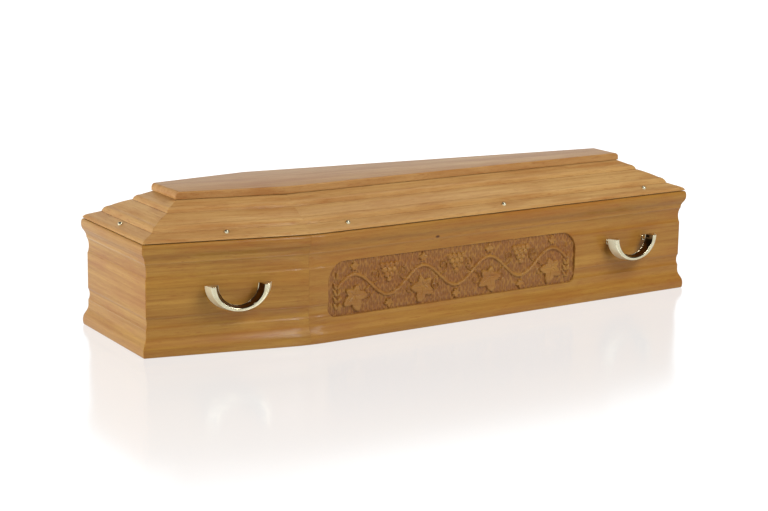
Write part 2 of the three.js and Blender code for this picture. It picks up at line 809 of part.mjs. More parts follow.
function addHandles() {
  const headX = -OUTLINE_LENGTH / 2 + HANDLE_FROM_HEAD;
  const footX = OUTLINE_LENGTH / 2 - HANDLE_FROM_FOOT;
  const height = BODY_HEIGHT - UPPER_COVE_DROP - HANDLE_DROP;
  const handles = [
    ["handle_front_head", SIDES.frontHead, headX],
    ["handle_front_foot", SIDES.frontFoot, footX],
    ["handle_back_foot", SIDES.backFoot, footX],
    ["handle_back_head", SIDES.backHead, headX],
  ];
  for (const [name, side, x] of handles) {
    const mesh = addBrass(name, handle());
    mesh.applyMatrix4(wallMatrix(side, x, height, PANEL_DEPTH - JOINT_GAP));
  }
}

function addScrews() {
  for (const { name, at } of screwPlaces()) {
    addBrass(name, lidScrew()).position.copy(at);
  }
}

addBody();
addLid();
addHandles();
addScrews();

export default coffin;
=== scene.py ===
"""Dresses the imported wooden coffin: fine meshes, wood and brass finishes, light and camera."""

import logging
import math
from dataclasses import dataclass, field
from enum import Enum
from typing import Sequence

import bmesh
import bpy
import numpy as np
from mathutils import Matrix, Vector


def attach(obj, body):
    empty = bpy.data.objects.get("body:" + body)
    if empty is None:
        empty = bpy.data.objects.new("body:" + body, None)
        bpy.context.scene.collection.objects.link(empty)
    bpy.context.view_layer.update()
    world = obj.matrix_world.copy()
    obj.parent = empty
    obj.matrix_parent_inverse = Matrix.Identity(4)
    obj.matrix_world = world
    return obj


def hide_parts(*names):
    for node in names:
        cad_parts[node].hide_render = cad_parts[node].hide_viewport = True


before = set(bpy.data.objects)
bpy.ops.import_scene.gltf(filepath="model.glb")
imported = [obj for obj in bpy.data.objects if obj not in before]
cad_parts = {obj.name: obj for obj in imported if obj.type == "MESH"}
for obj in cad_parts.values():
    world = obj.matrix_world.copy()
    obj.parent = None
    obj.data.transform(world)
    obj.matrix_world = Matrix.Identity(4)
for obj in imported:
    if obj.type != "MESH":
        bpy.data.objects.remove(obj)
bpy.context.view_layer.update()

LOG = logging.getLogger("coffin")
Colour = tuple[float, float, float]
Point = tuple[float, float]
Triple = tuple[float, float, float]
Spot = tuple[float, float, bool, float]
Skin = tuple[list[Sequence[float]], list[list[int]]]
Grid = np.ndarray
Inputs = dict[str | int, "Wire | float | Sequence[float]"]

PHOTO_WIDTH = 768
SENSOR_WIDTH = 36.0
SHARP_ANGLE = math.radians(34)
NOISE_SPAN = (0.3, 0.7)
TINY = 1e-7
STEP = 1e-3
FINE_STEP = 1e-5


def srgb(red: int, green: int, blue: int) -> Colour:
    """Turn a colour with shares of 0 to 255 into linear light."""
    shares = (red / 255, green / 255, blue / 255)
    return tuple(((share + 0.055) / 1.055) ** 2.4 for share in shares)


class Side(Enum):
    """The six sides of the plan, counterclockwise from the front of the head end."""

    FRONT_HEAD = 0
    FRONT_FOOT = 1
    FOOT = 2
    BACK_FOOT = 3
    BACK_HEAD = 4
    HEAD = 5

    def label(self) -> str:
        """Give the side's name as the pieces' names have it."""
        return self.name.lower()

    def is_end(self) -> bool:
        """Tell whether the side is one of the two ends."""
        return self in (Side.HEAD, Side.FOOT)


class Fusing(Enum):
    """How one mesh is worked with another."""

    JOIN = "UNION"
    CUT = "DIFFERENCE"


class Wire:
    """A node's output that takes part in Python sums."""

    def __init__(self, bench: "Bench", socket: bpy.types.NodeSocket) -> None:
        """Keep the bench that adds nodes, and the socket itself."""
        self.bench = bench
        self.socket = socket

    def worked(self, operation: str, *inputs: "Wire | float") -> "Wire":
        """Add a Math node with its operation and its inputs in order."""
        return self.bench.node("ShaderNodeMath", {"operation": operation}, dict(enumerate(inputs)))

    def __add__(self, other: "Wire | float") -> "Wire":
        """Add."""
        return self.worked("ADD", self, other)

    def __radd__(self, other: float) -> "Wire":
        """Add to a number."""
        return self.worked("ADD", other, self)

    def __sub__(self, other: "Wire | float") -> "Wire":
        """Subtract."""
        return self.worked("SUBTRACT", self, other)

    def __rsub__(self, other: float) -> "Wire":
        """Subtract from a number."""
        return self.worked("SUBTRACT", other, self)

    def __mul__(self, other: "Wire | float") -> "Wire":
        """Multiply."""
        return self.worked("MULTIPLY", self, other)

    def __rmul__(self, other: float) -> "Wire":
        """Multiply a number."""
        return self.worked("MULTIPLY", other, self)

    def __pow__(self, power: float) -> "Wire":
        """Raise to a power."""
        return self.worked("POWER", self, power)

    def fraction(self) -> "Wire":
        """Keep what lies behind the decimal point."""
        return self.worked("FRACT", self)

    def root(self) -> "Wire":
        """Take the square root."""
        return self.worked("SQRT", self)


@dataclass(frozen=True)
class Grain:
    """Cloudy noise: its clouds per metre along the three axes, and its finer layers."""

    scale: Triple
    layers: float = 2.0
    strength: float = 0.5


class Bench:
    """A node tree of a material or of the world, with one way to add any node."""

    def __init__(self, owner: bpy.types.Material | bpy.types.World) -> None:
        """Start with an empty tree.

        Args:
            owner: The material or the world that it belongs to.
        """
        self.owner = owner
        owner.use_nodes = True
        owner.node_tree.nodes.clear()

    def node(
        self,
        kind: str,
        settings: dict[str, object] | None = None,
        inputs: Inputs | None = None,
        output: str | int = 0,
    ) -> Wire | None:
        """Add a node.

        Args:
            kind: The node's type.
            settings: Its own settings, and a ramp's stops as (place, colour) pairs.
            inputs: Values or wires, by the name or number of the socket.
            output: Name or number of the output that is wanted.

        Returns:
            The wanted output, or nothing where the node has none.
        """
        made = self.owner.node_tree.nodes.new(kind)
        for key, value in (settings or {}).items():
            if key == "stops":
                for stop, (place, colour) in zip(made.color_ramp.elements, value):
                    stop.position = place
                    stop.color = (*colour, 1.0)
            else:
                setattr(made, key, value)
        for key, value in (inputs or {}).items():
            if isinstance(value, Wire):
                self.owner.node_tree.links.new(value.socket, made.inputs[key])
            else:
                made.inputs[key].default_value = value
        return Wire(self, made.outputs[output]) if made.outputs else None

    def spot(self, kind: str = "Object") -> Wire:
        """Give a kind of place, of itself the one on the piece in the piece's own frame."""
        return self.node("ShaderNodeTexCoord", output=kind)

    def parts(self, place: Wire) -> tuple[Wire, ...]:
        """Take a place apart into its three measures."""
        apart = self.node("ShaderNodeSeparateXYZ", None, {0: place}).socket.node
        return tuple(Wire(self, socket) for socket in apart.outputs)

    def marked(self, label: str) -> Wire:
        """Read the mark that a mesh carries on its points."""
        return self.node("ShaderNodeAttribute", {"attribute_name": label}, None, "Fac")

    def noise(self, place: Wire, grain: Grain, shift: Triple = (0.0, 0.0, 0.0)) -> Wire:
        """Give cloudy noise of 0 to 1.

        Args:
            place: Where it is read.
            grain: What the noise is like.
            shift: How far it is moved, in clouds.

        Returns:
            The noise.
        """
        scaled = {0: place, 1: grain.scale, 2: shift}
        moved = self.node("ShaderNodeVectorMath", {"operation": "MULTIPLY_ADD"}, scaled)
        inputs = {"Vector": moved, "Scale": 1.0, "Detail": grain.layers, "Roughness": grain.strength}
        return self.node("ShaderNodeTexNoise", None, inputs)

    def ranged(self, value: Wire, span: Point, start: float = 0.0, end: float = 1.0) -> Wire:
        """Map the span of a value to the range from start to end, and clamp it."""
        inputs = {1: span[0], 2: span[1], 3: start, 4: end, "Value": value}
        return self.node("ShaderNodeMapRange", {"clamp": True}, inputs)

    def mixed(self, share: Wire, first: Wire | Colour, second: Wire | Colour) -> Wire:
        """Mix two colours by the share of the second one."""
        one, other = (c if isinstance(c, Wire) else (*c, 1.0) for c in (first, second))
        return self.node("ShaderNodeMix", {"data_type": "RGBA"}, {0: share, 6: one, 7: other}, 2)

    def bumped(self, height: Wire, strength: float, distance: float) -> Wire:
        """Turn a height of 0 to 1 into a bumped normal, for a full step of a distance in metres."""
        inputs = {"Height": height, "Strength": strength, "Distance": distance}
        return self.node("ShaderNodeBump", None, inputs)

    def surface(self, inputs: Inputs) -> bpy.types.Material:
        """End the tree in one shader.

        Args:
            inputs: The shader's values and wires.

        Returns:
            The finished material.
        """
        shader = self.node("ShaderNodeBsdfPrincipled", None, inputs)
        self.node("ShaderNodeOutputMaterial", None, {0: shader})
        return self.owner


@dataclass(frozen=True)
class Knot:
    """A small dark knot on one board, in the board's own frame."""

    along: float
    height: float
    length: float = 0.008
    width: float = 0.0045


@dataclass(frozen=True)
class Cut:
    """How one board was cut from the log: it makes its grain its own."""

    shift: Triple = (0.0, 0.0, 0.0)
    heart_depth: float = 0.09
    heart_height: float = -0.35
    wander: float = 0.03
    warmth: float = 0.0
    knot: Knot | None = None


@dataclass(frozen=True)
class Tint:
    """A colour that shows through where a noise lies high in a span."""

    colour: Colour
    grain: Grain
    span: Point
    most: float
    turned: bool = False


@dataclass(frozen=True)
class WoodFinish:
    """Honey-coloured hardwood with straight grain under satin varnish."""

    pale: Colour = srgb(173, 131, 60)
    deep: Colour = srgb(127, 83, 31)
    knot_brown: Colour = srgb(84, 48, 20)
    # Stain on the carving, and painted shade in the grooves and the carved hollows.
    stain_and_painted_shade: Colour = srgb(118, 70, 34)
    warm: Tint = Tint(srgb(140, 80, 32), Grain((1.9, 5.0, 5.0)), (0.35, 0.75), 0.3, True)
    tints: tuple[Tint, ...] = (
        Tint(srgb(142, 84, 34), Grain((4.5, 24.0, 24.0), 3.0, 0.6), (0.44, 0.72), 0.5, True),
        Tint(srgb(132, 76, 34), Grain((26.0, 190.0, 190.0), 2.0, 0.55), (0.58, 0.74), 0.4),
        Tint(srgb(84, 48, 18), Grain((60.0, 1500.0, 1500.0), 1.0), (0.66, 0.76), 0.5),
    )
    slow_bend: Grain = Grain((1.2, 5.0, 5.0), 3.0, 0.55)
    quick_bend: Grain = Grain((1.5, 6.0, 6.0), 3.0, 0.55)
    ring_fade: Grain = Grain((2.2, 9.0, 9.0))
    streak: Grain = Grain((1.6, 64.0, 64.0), 4.0, 0.66)
    fibre: Grain = Grain((14.0, 620.0, 620.0), 3.0, 0.6)
    rings_per_metre: float = 62.0
    ring_sharpness: float = 2.4
    ring_end: Point = (0.9, 1.0)
    fade_span: Point = (0.38, 0.62)
    fade_floor: float = 0.25
    streak_span: Point = (0.34, 0.68)
    fibre_span: Point = (0.35, 0.72)
    knot_span: Point = (0.55, 1.25)
    ring_share: float = 0.26
    streak_share: float = 0.52
    fibre_share: float = 0.26
    roughness: Point = (0.3, 0.42)
    bump_strength: float = 0.25
    bump_depth: float = 0.0004
    varnish: float = 0.2
    worn_varnish: float = 0.85
    varnish_roughness: float = 0.14
    varnish_ior: float = 1.5
    specular: float = 0.15
    # Painted shade in the grooves at the steps' feet.
    groove_painted_shade: float = 0.75
    # The carved field's stain, and painted shade in its hollows.
    carved_span: Point = (-0.36, 0.06)
    carved_stain_and_shade: Point = (0.78, 0.1)
    carved_fibre: float = 0.15
    carved_roughness: float = 0.12
    carved_varnish: float = 0.8

    def log_rings(self, bench: Bench, place: Wire, cut: Cut) -> Wire:
        """Draw the year rings that the board cuts through.

        Args:
            bench: The material's bench.
            place: Place on the board.
            cut: The board's cut.

        Returns:
            0 in early wood to 1 at the dark line of a ring.
        """
        _, depth, height = bench.parts(place)
        slow = bench.noise(place, self.slow_bend, cut.shift)
        quick = bench.noise(place, self.quick_bend, cut.shift[::-1])
        across = depth + (slow - 0.5) * cut.wander + cut.heart_depth
        up = height + (quick - 0.5) * cut.wander - cut.heart_height
        phase = ((across * across + up * up).root() * self.rings_per_metre).fraction()
        fade = bench.noise(place, self.ring_fade, cut.shift)
        strength = bench.ranged(fade, self.fade_span, self.fade_floor, 1.0)
        return phase**self.ring_sharpness * bench.ranged(phase, self.ring_end, 1.0, 0.0) * strength

    def knot_mask(self, bench: Bench, place: Wire, knot: Knot) -> Wire:
        """Mark a knot.

        Args:
            bench: The material's bench.
            place: Place on the board.
            knot: The knot.

        Returns:
            1 inside the knot to 0 outside it.
        """
        along, _, height = bench.parts(place)
        sideways = (along - knot.along) * (1 / knot.length)
        upwards = (height - knot.height) * (1 / knot.width)
        return bench.ranged((sideways * sideways + upwards * upwards).root(), self.knot_span, 1.0, 0.0)

    def colour(self, bench: Bench, place: Wire, cut: Cut, depth: Wire) -> Wire:
        """Mix the wood's colours, with painted shade in the grooves.

        Args:
            bench: The material's bench.
            place: Place on the board.
            cut: The board's cut.
            depth: Share of the deep colour.

        Returns:
            The colour.
        """
        colour = bench.mixed(depth, self.pale, self.deep)
        for tint in (self.warm, *self.tints):
            noise = bench.noise(place, tint.grain, cut.shift[::-1] if tint.turned else cut.shift)
            share = bench.ranged(noise, tint.span, 0.0, tint.most)
            if tint is self.warm:
                share = share + cut.warmth
            colour = bench.mixed(share, colour, tint.colour)
        if cut.knot:
            colour = bench.mixed(self.knot_mask(bench, place, cut.knot), colour, self.knot_brown)
        # Painted shade: the grooves at the steps' feet are darkened where shadow falls.
        grooves = bench.ranged(bench.marked("edge"), (-1.0, 0.0), self.groove_painted_shade, 0.0)
        return bench.mixed(grooves, colour, self.stain_and_painted_shade)

    def material(self, name: str, cut: Cut, carved: bool = False) -> bpy.types.Material:
        """Make the wood of one board.

        Args:
            name: Name of the material.
            cut: The board's cut.
            carved: Whether the board has carving, with stain over its field and painted shade in its
                hollows.

        Returns:
            The material.
        """
        bench = Bench(bpy.data.materials.new(name))
        place = bench.spot()
        rings = self.log_rings(bench, place, cut)
        streak = bench.noise(place, self.streak, cut.shift)
        fibre = bench.noise(place, self.fibre, cut.shift)
        depth = rings * self.ring_share + bench.ranged(streak, self.streak_span) * self.streak_share
        depth = depth + bench.ranged(fibre, self.fibre_span) * self.fibre_share
        colour = self.colour(bench, place, cut, depth)
        roughness = bench.ranged(fibre * 0.5 + streak * 0.5, NOISE_SPAN, *self.roughness)
        cloud = bench.noise(place, self.warm.grain, cut.shift[::-1])
        varnish = bench.ranged(cloud, NOISE_SPAN, self.varnish, self.varnish * self.worn_varnish)
        varnish = varnish + bench.ranged(bench.marked("edge"), (0.0, 1.0)) * (1 - self.varnish)
        if carved:
            share = bench.marked("carved")
            level = bench.marked("relief") + (fibre - 0.5) * self.carved_fibre
            # Stain over the carved field, deepening in the gouged hollows as painted shade.
            hollow = bench.ranged(level, self.carved_span, *self.carved_stain_and_shade)
            colour = bench.mixed(share * hollow, colour, self.stain_and_painted_shade)
            roughness = roughness + share * self.carved_roughness
            varnish = varnish * (1 + share * self.carved_varnish)
        bump = bench.bumped(fibre * 0.7 + rings * 0.3, self.bump_strength, self.bump_depth)
        return bench.surface(
            {
                "Base Color": colour,
                "Roughness": roughness,
                "Normal": bump,
                "Coat Weight": varnish,
                "Coat Roughness": self.varnish_roughness,
                "Coat IOR": self.varnish_ior,
                "Specular IOR Level": self.specular,
            }
        )


@dataclass(frozen=True)
class BrassFinish:
    """Pale brass, polished and lacquered."""

    metal: Colour = srgb(228, 221, 190)
    tarnish: Tint = Tint(srgb(196, 178, 134), Grain((28.0, 28.0, 28.0), 4.0), (0.48, 0.8), 0.55)
    tarnish_shift: Triple = (3.0, 1.0, 5.0)
    brushing: Grain = Grain((900.0, 260.0, 900.0))
    brushing_shift: Triple = (0.0, 2.0, 7.0)
    # Painted shade: a dark colour on the bar's inner side, standing in for the shaded wall that it
    # reflects.
    inner_painted_shade: Colour = srgb(92, 68, 40)
    roughness: Point = (0.06, 0.17)
    matt: float = 0.2
    dull: float = 0.4
    bump_strength: float = 0.04
    bump_depth: float = 0.0002

    def material(self, name: str) -> bpy.types.Material:
        """Make the brass.

        Args:
            name: Name of the material.

        Returns:
            The material.
        """
        bench = Bench(bpy.data.materials.new(name))
        place = bench.spot()
        cloud = bench.noise(place, self.tarnish.grain, self.tarnish_shift)
        brushed = bench.noise(place, self.brushing, self.brushing_shift)
        share = bench.ranged(cloud, self.tarnish.span, 0.0, self.tarnish.most)
        colour = bench.mixed(share, self.metal, self.tarnish.colour)
        outer = bench.marked("outer")
        polish = bench.ranged(cloud * 0.6 + brushed * 0.4, NOISE_SPAN, *self.roughness)
        return bench.surface(
            {
                # The inner side gets the dark colour as painted shade.
                "Base Color": bench.mixed(bench.marked("inner"), colour, self.inner_painted_shade),
                "Metallic": 1 - outer * self.dull,
                "Roughness": polish + outer * self.matt,
                "Normal": bench.bumped(brushed, self.bump_strength, self.bump_depth),
            }
        )


@dataclass(frozen=True)
class FloorFinish:
    """A plain pale studio floor with a faint sheen, lit from within like a light table."""

    pale: Colour = (0.05, 0.05, 0.05)
    cloud: Grain = Grain((0.4, 0.4, 0.4), 1.0)
    roughness: Point = (0.15, 0.17)
    ior: float = 2.2
    glow: float = 0.82
    floor_painted_shade: Colour = (0.866, 0.866, 0.866)
    lit: Colour = (1.0, 1.0, 1.0)
    dim_to: float = 1.1
    lit_from: float = 2.2
    slimness: float = 1.5

    def material(self) -> bpy.types.Material:
        """Make the floor's material, with painted shade: its glow is a little dimmer round the coffin
        than farther out.
        """
        bench = Bench(bpy.data.materials.new("studio_floor"))
        place = bench.spot()
        along, across, _ = bench.parts(place)
        away = along * along + across * across * self.slimness**2
        share = bench.ranged(away, (self.dim_to**2, self.lit_from**2))
        return bench.surface(
            {
                "Base Color": (*self.pale, 1.0),
                "Roughness": bench.ranged(bench.noise(place, self.cloud), NOISE_SPAN, *self.roughness),
                "IOR": self.ior,
                # Painted shade: the glow is dimmer round the coffin.
                "Emission Color": bench.mixed(share, self.floor_painted_shade, self.lit),
                "Emission Strength": self.glow,
            }
        )


FRONT_SIDES = (Side.FRONT_HEAD, Side.FRONT_FOOT)
BACK_SIDES = (Side.BACK_HEAD, Side.BACK_FOOT)


@dataclass(frozen=True)
class Plan:
    """The six-sided outline, measured over the lip that runs round the walls."""

    length: float = 2.0
    head_width: float = 0.472
    shoulder_width: float = 0.646
    foot_width: float = 0.45
    shoulder_from_head: float = 0.505

    def corners(self) -> list[Vector]:
        """Give the corners, counterclockwise from the front of the head end."""
        end = self.length / 2
        shoulder = -end + self.shoulder_from_head
        front = [
            Vector((-end, -self.head_width / 2)),
            Vector((shoulder, -self.shoulder_width / 2)),
            Vector((end, -self.foot_width / 2)),
        ]
        return front + [Vector((corner.x, -corner.y)) for corner in reversed(front)]

    def run(self, side: Side) -> Vector:
        """Give the way from a side's first corner to its last one."""
        corners = self.corners()
        return corners[(side.value + 1) % len(corners)] - corners[side.value]

    def direction(self, side: Side) -> Vector:
        """Give the direction in which a side runs."""
        return self.run(side).normalized()

    def half_turns(self, side: Side) -> tuple[float, float]:
        """Give half of the turn at the start and at the end of a side.

        Args:
            side: The side.

        Returns:
            The two half angles in radians.
        """
        along = self.direction(side)
        before = self.direction(Side((side.value - 1) % len(Side)))
        after = self.direction(Side((side.value + 1) % len(Side)))
        return along.angle(before) / 2, along.angle(after) / 2

    def board_frame(self, side: Side, lift: float) -> Matrix:
        """Give the frame of a board on a side.

        Args:
            side: The side.
            lift: Height of the board's foot.

        Returns:
            A frame at the side's first corner: x along the side, y inwards, z up.
        """
        along = self.direction(side)
        corner = self.corners()[side.value]
        turned = Matrix(((along.x, -along.y, 0), (along.y, along.x, 0), (0, 0, 1)))
        return Matrix.Translation((corner.x, corner.y, lift)) @ turned.to_4x4()

    def place(self, side: Side, x: float, inset: float) -> Vector:
        """Give the point of a side, moved inwards, that stands at a given x.

        Args:
            side: The side.
            x: The wanted x.
            inset: How far the side is moved inwards.

        Returns:
            The point in plan.
        """
        along = self.direction(side)
        start = self.corners()[side.value]
        slope = along.y / along.x
        return Vector((x, start.y + along.x * inset + (x - start.x + along.y * inset) * slope))

    def wall_frame(self, side: Side, x: float, height: float, inset: float) -> Matrix:
        """Give a frame on a wall.

        Args:
            side: The wall's side.
            x: Where it stands.
            height: Its height above the floor.
            inset: How far behind the outline it lies.

        Returns:
            A frame with x along the side, y up and z out of the wall.
        """
        along = self.direction(side)
        spot = self.place(side, x, inset)
        turned = Matrix(((along.x, 0, along.y), (along.y, 0, -along.x), (0, 1, 0)))
        return Matrix.Translation((spot.x, spot.y, height)) @ turned.to_4x4()

    def inset_corners(self, side_inset: float, end_inset: float) -> list[Vector]:
        """Give the corners of the plan, drawn in.

        Args:
            side_inset: How far the four long sides are moved inwards.
            end_inset: How far the two ends are moved inwards.

        Returns:
            The six corners.
        """
        corners = []
        for side in Side:
            before = Side((side.value - 1) % len(Side))
            insets = [end_inset if one.is_end() else side_inset for one in (side, before)]
            along = self.direction(side)
            along_before = self.direction(before)
            turn = along_before.cross(along)
            shift = (insets[1] - insets[0] * along_before.dot(along)) / turn
            inward = Vector((-along.y, along.x))
            corners.append(self.corners()[side.value] + inward * insets[0] + along * shift)
        return corners


@dataclass
class Section:
    """The outline of a moulding: insets from the plan's outline, and heights."""

    points: list[Point] = field(default_factory=list)
    hidden: set[int] = field(default_factory=set)
    painted_shade_grooves: set[int] = field(default_factory=set)
    curve_steps: int = 14
    cove_pull: float = 4 / 3
    steep_share: float = 1 / 12
    flat_share: float = 0.95
    sharp_turn: float = math.radians(20)
    reach_share: float = 0.4

    def to(self, inset: float, height: float, hidden: bool = False) -> "Section":
        """Add a corner.

        Args:
            inset: Its inset.
            height: Its height.
            hidden: Whether it lies on the board's hidden side.

        Returns:
            The section itself.
        """
        if hidden:
            self.hidden.add(len(self.points))
        self.points.append((inset, height))
        return self

    def curve(self, *controls: Point) -> "Section":
        """Add a curve through control points that ends in the last one.

        Args:
            controls: Two points for a simple curve, or three for a double one.

        Returns:
            The section itself.
        """
        hull = [np.array(point) for point in (self.points[-1], *controls)]
        for step in range(1, self.curve_steps + 1):
            share = step / self.curve_steps
            layer = hull
            while len(layer) > 1:
                layer = [a * (1 - share) + b * share for a, b in zip(layer, layer[1:])]
            self.points.append(tuple(float(value) for value in layer[0]))
        return self

    def ogee(self, inset: float, height: float) -> "Section":
        """Add an S-shaped moulding that is upright at both ends.

        Args:
            inset: Inset of its end.
            height: Height of its end.

        Returns:
            The section itself.
        """
        start_inset, start_height = self.points[-1]
        middle = (start_height + height) / 2
        return self.curve((start_inset, middle), (inset, middle), (inset, height))

    def cove(self, depth: float, inset: float, height: float) -> "Section":
        """Add a hollow moulding.

        Args:
            depth: Its depth.
            inset: Inset of its end.
            height: Height of its end.

        Returns:
            The section itself.
        """
        start_inset, start_height = self.points[-1]
        floor = max(start_inset, inset) + depth * self.cove_pull
        quarter = (height - start_height) / 4
        return self.curve((floor, start_height + quarter), (floor, height - quarter), (inset, height))

    def quarter_round(self, width: float, rise: float) -> "Section":
        """Add a quarter round that starts steep and ends nearly flat.

        Args:
            width: Its width.
            rise: Its height.

        Returns:
            The section itself.
        """
        x, y = self.points[-1]
        steep = (x + width * self.steep_share, y + rise / 2)
        flat = (x + width / 2, y + rise * self.flat_share)
        return self.curve(steep, flat, (x + width, y + rise))

    def groove(self, inset: float, height: float, depth: float) -> "Section":
        """Cut a fine groove at the foot of a step, from the last corner to the step's foot, and list it
        for painted shade.

        Args:
            inset: Inset of the step's foot.
            height: Height of the step's foot.
            depth: Depth of the groove.

        Returns:
            The section itself.
        """
        middle = (self.points[-1][0] + inset) / 2
        self.painted_shade_grooves.add(len(self.points))
        return self.to(middle, height - depth).to(inset, height)

    def mark(self, corner: int, outer: bool, share: float) -> float:
        """Say what a point of a rounded corner is for the finish.

        Args:
            corner: Number of the corner.
            outer: Whether it stands out.
            share: The point's place on the rounding, 0 to 1.

        Returns:
            1 on an outer edge, -1 in a groove where the finish paints shade, otherwise 0.
        """
        if corner in self.painted_shade_grooves:
            return -1.0
        if corner + 1 in self.painted_shade_grooves:
            return -share
        if corner - 1 in self.painted_shade_grooves:
            return share - 1
        return float(outer and 0 < share < 1)

    def softened(self, radius: float, steps: int = 4) -> list[Spot]:
        """Round every sharp corner.

        Args:
            radius: About the radius of the rounding.
            steps: Faces of each rounding.

        Returns:
            For each point of the outline its inset, its height, whether it is hidden, and its mark.
        """
        outline: list[Spot] = []
        for i, point in enumerate(self.points):
            here = Vector(point)
            back = Vector(self.points[i - 1]) - here
            ahead = Vector(self.points[(i + 1) % len(self.points)]) - here
            under = i in self.hidden
            if math.pi - back.angle(ahead) < self.sharp_turn:
                outline.append((*point, under, 0.0))
                continue
            reach = min(radius, back.length * self.reach_share, ahead.length * self.reach_share)
            outer = back.cross(ahead) > 0
            bend = rounded(here, back.normalized() * reach, ahead.normalized() * reach, steps)
            for step, spot in enumerate(bend):
                outline.append((spot.x, spot.y, under, self.mark(i, outer, step / steps)))
        return outline


def rounded(corner: Vector, back: Vector, ahead: Vector, steps: int) -> list[Vector]:
    """Round a corner.

    Args:
        corner: The corner.
        back: Way from it to where the rounding starts.
        ahead: Way from it to where the rounding ends.
        steps: Faces of the rounding.

    Returns:
        The points of the rounding.
    """
    spots = []
    for step in range(steps + 1):
        share = step / steps
        leaving = (corner + back).lerp(corner, share)
        spots.append(leaving.lerp(corner.lerp(corner + ahead, share), share))
    return spots


def mesh_of(name: str, points: Sequence[Triple], faces: Sequence[Sequence[int]]) -> bpy.types.Mesh:
    """Make a closed mesh with its faces turned outwards.

    Args:
        name: The mesh's name.
        points: Its points.
        faces: Its faces.

    Returns:
        The mesh.
    """
    mesh = bpy.data.meshes.new(name)
    mesh.from_pydata([tuple(point) for point in points], [], [tuple(face) for face in faces])
    work = bmesh.new()
    work.from_mesh(mesh)
    bmesh.ops.recalc_face_normals(work, faces=work.faces)
    work.to_mesh(mesh)
    work.free()
    mesh.update()
    return mesh


def mark_points(mesh: bpy.types.Mesh, label: str, values: Grid) -> None:
    """Give every point of a mesh a number that its finish can read under a label."""
    mesh.attributes.new(label, "FLOAT", "POINT").data.foreach_set("value", values.astype(np.float32))


def lofted(rings: Sequence[Sequence[Sequence[float]]]) -> Skin:
    """Join rings of equal length into a closed skin with flat ends.

    Args:
        rings: The rings.

    Returns:
        Points and faces.
    """
    count = len(rings[0])
    points = [point for ring in rings for point in ring]
    faces = []
    for base in range(0, len(points) - count, count):
        for i in range(count):
            j = (i + 1) % count
            faces.append([base + i, base + j, base + count + j, base + count + i])
    ends = [list(range(count)), list(range(len(points) - count, len(points)))]
    return points, faces + ends


def lathed(profile: Sequence[Point], sides: int) -> Skin:
    """Turn a profile of (radius, height) pairs about the z axis, into a number of faces."""
    angles = [2 * math.pi * i / sides for i in range(sides)]
    return lofted([[(r * math.cos(a), r * math.sin(a), z) for a in angles] for r, z in profile])


class Shop:
    """Places finished pieces in the scene."""

    @staticmethod
    def loose(name: str, mesh: bpy.types.Mesh, place: Matrix) -> bpy.types.Object:
        """Put a mesh into the scene.

        Args:
            name: The object's name.
            mesh: Its mesh.
            place: Where it stands.

        Returns:
            The object.
        """
        piece = bpy.data.objects.new(name, mesh)
        bpy.context.scene.collection.objects.link(piece)
        piece.matrix_world = place
        return piece

    @staticmethod
    def fused(piece: bpy.types.Object, tool: bpy.types.Object, fusing: Fusing) -> None:
        """Join a tool to a piece or cut it out of the piece, and take the tool away.

        Args:
            piece: The piece.
            tool: The tool.
            fusing: Which of the two.
        """
        step = piece.modifiers.new("fusing", "BOOLEAN")
        step.operation = fusing.value
        step.solver = "EXACT"
        step.object = tool
        bpy.context.view_layer.update()
        graph = bpy.context.evaluated_depsgraph_get()
        mesh = bpy.data.meshes.new_from_object(piece.evaluated_get(graph))
        piece.modifiers.clear()
        piece.data = mesh
        bpy.data.objects.remove(tool)

    @staticmethod
    def finished(piece: bpy.types.Object, material: bpy.types.Material, slot: str, *nodes: str) -> None:
        """Shade a piece, dress it, and let it stand for its solids.

        Args:
            piece: The piece.
            material: Its material.
            slot: Not used.
            nodes: The solids that it stands for.
        """
        mesh = piece.data
        mesh.shade_smooth()
        mesh.set_sharp_from_angle(angle=SHARP_ANGLE)
        mesh.materials.clear()
        mesh.materials.append(material)
        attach(piece, "root")
        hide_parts(*nodes)
        LOG.info("%s: %d faces, for %s", piece.name, len(mesh.polygons), ", ".join(nodes))


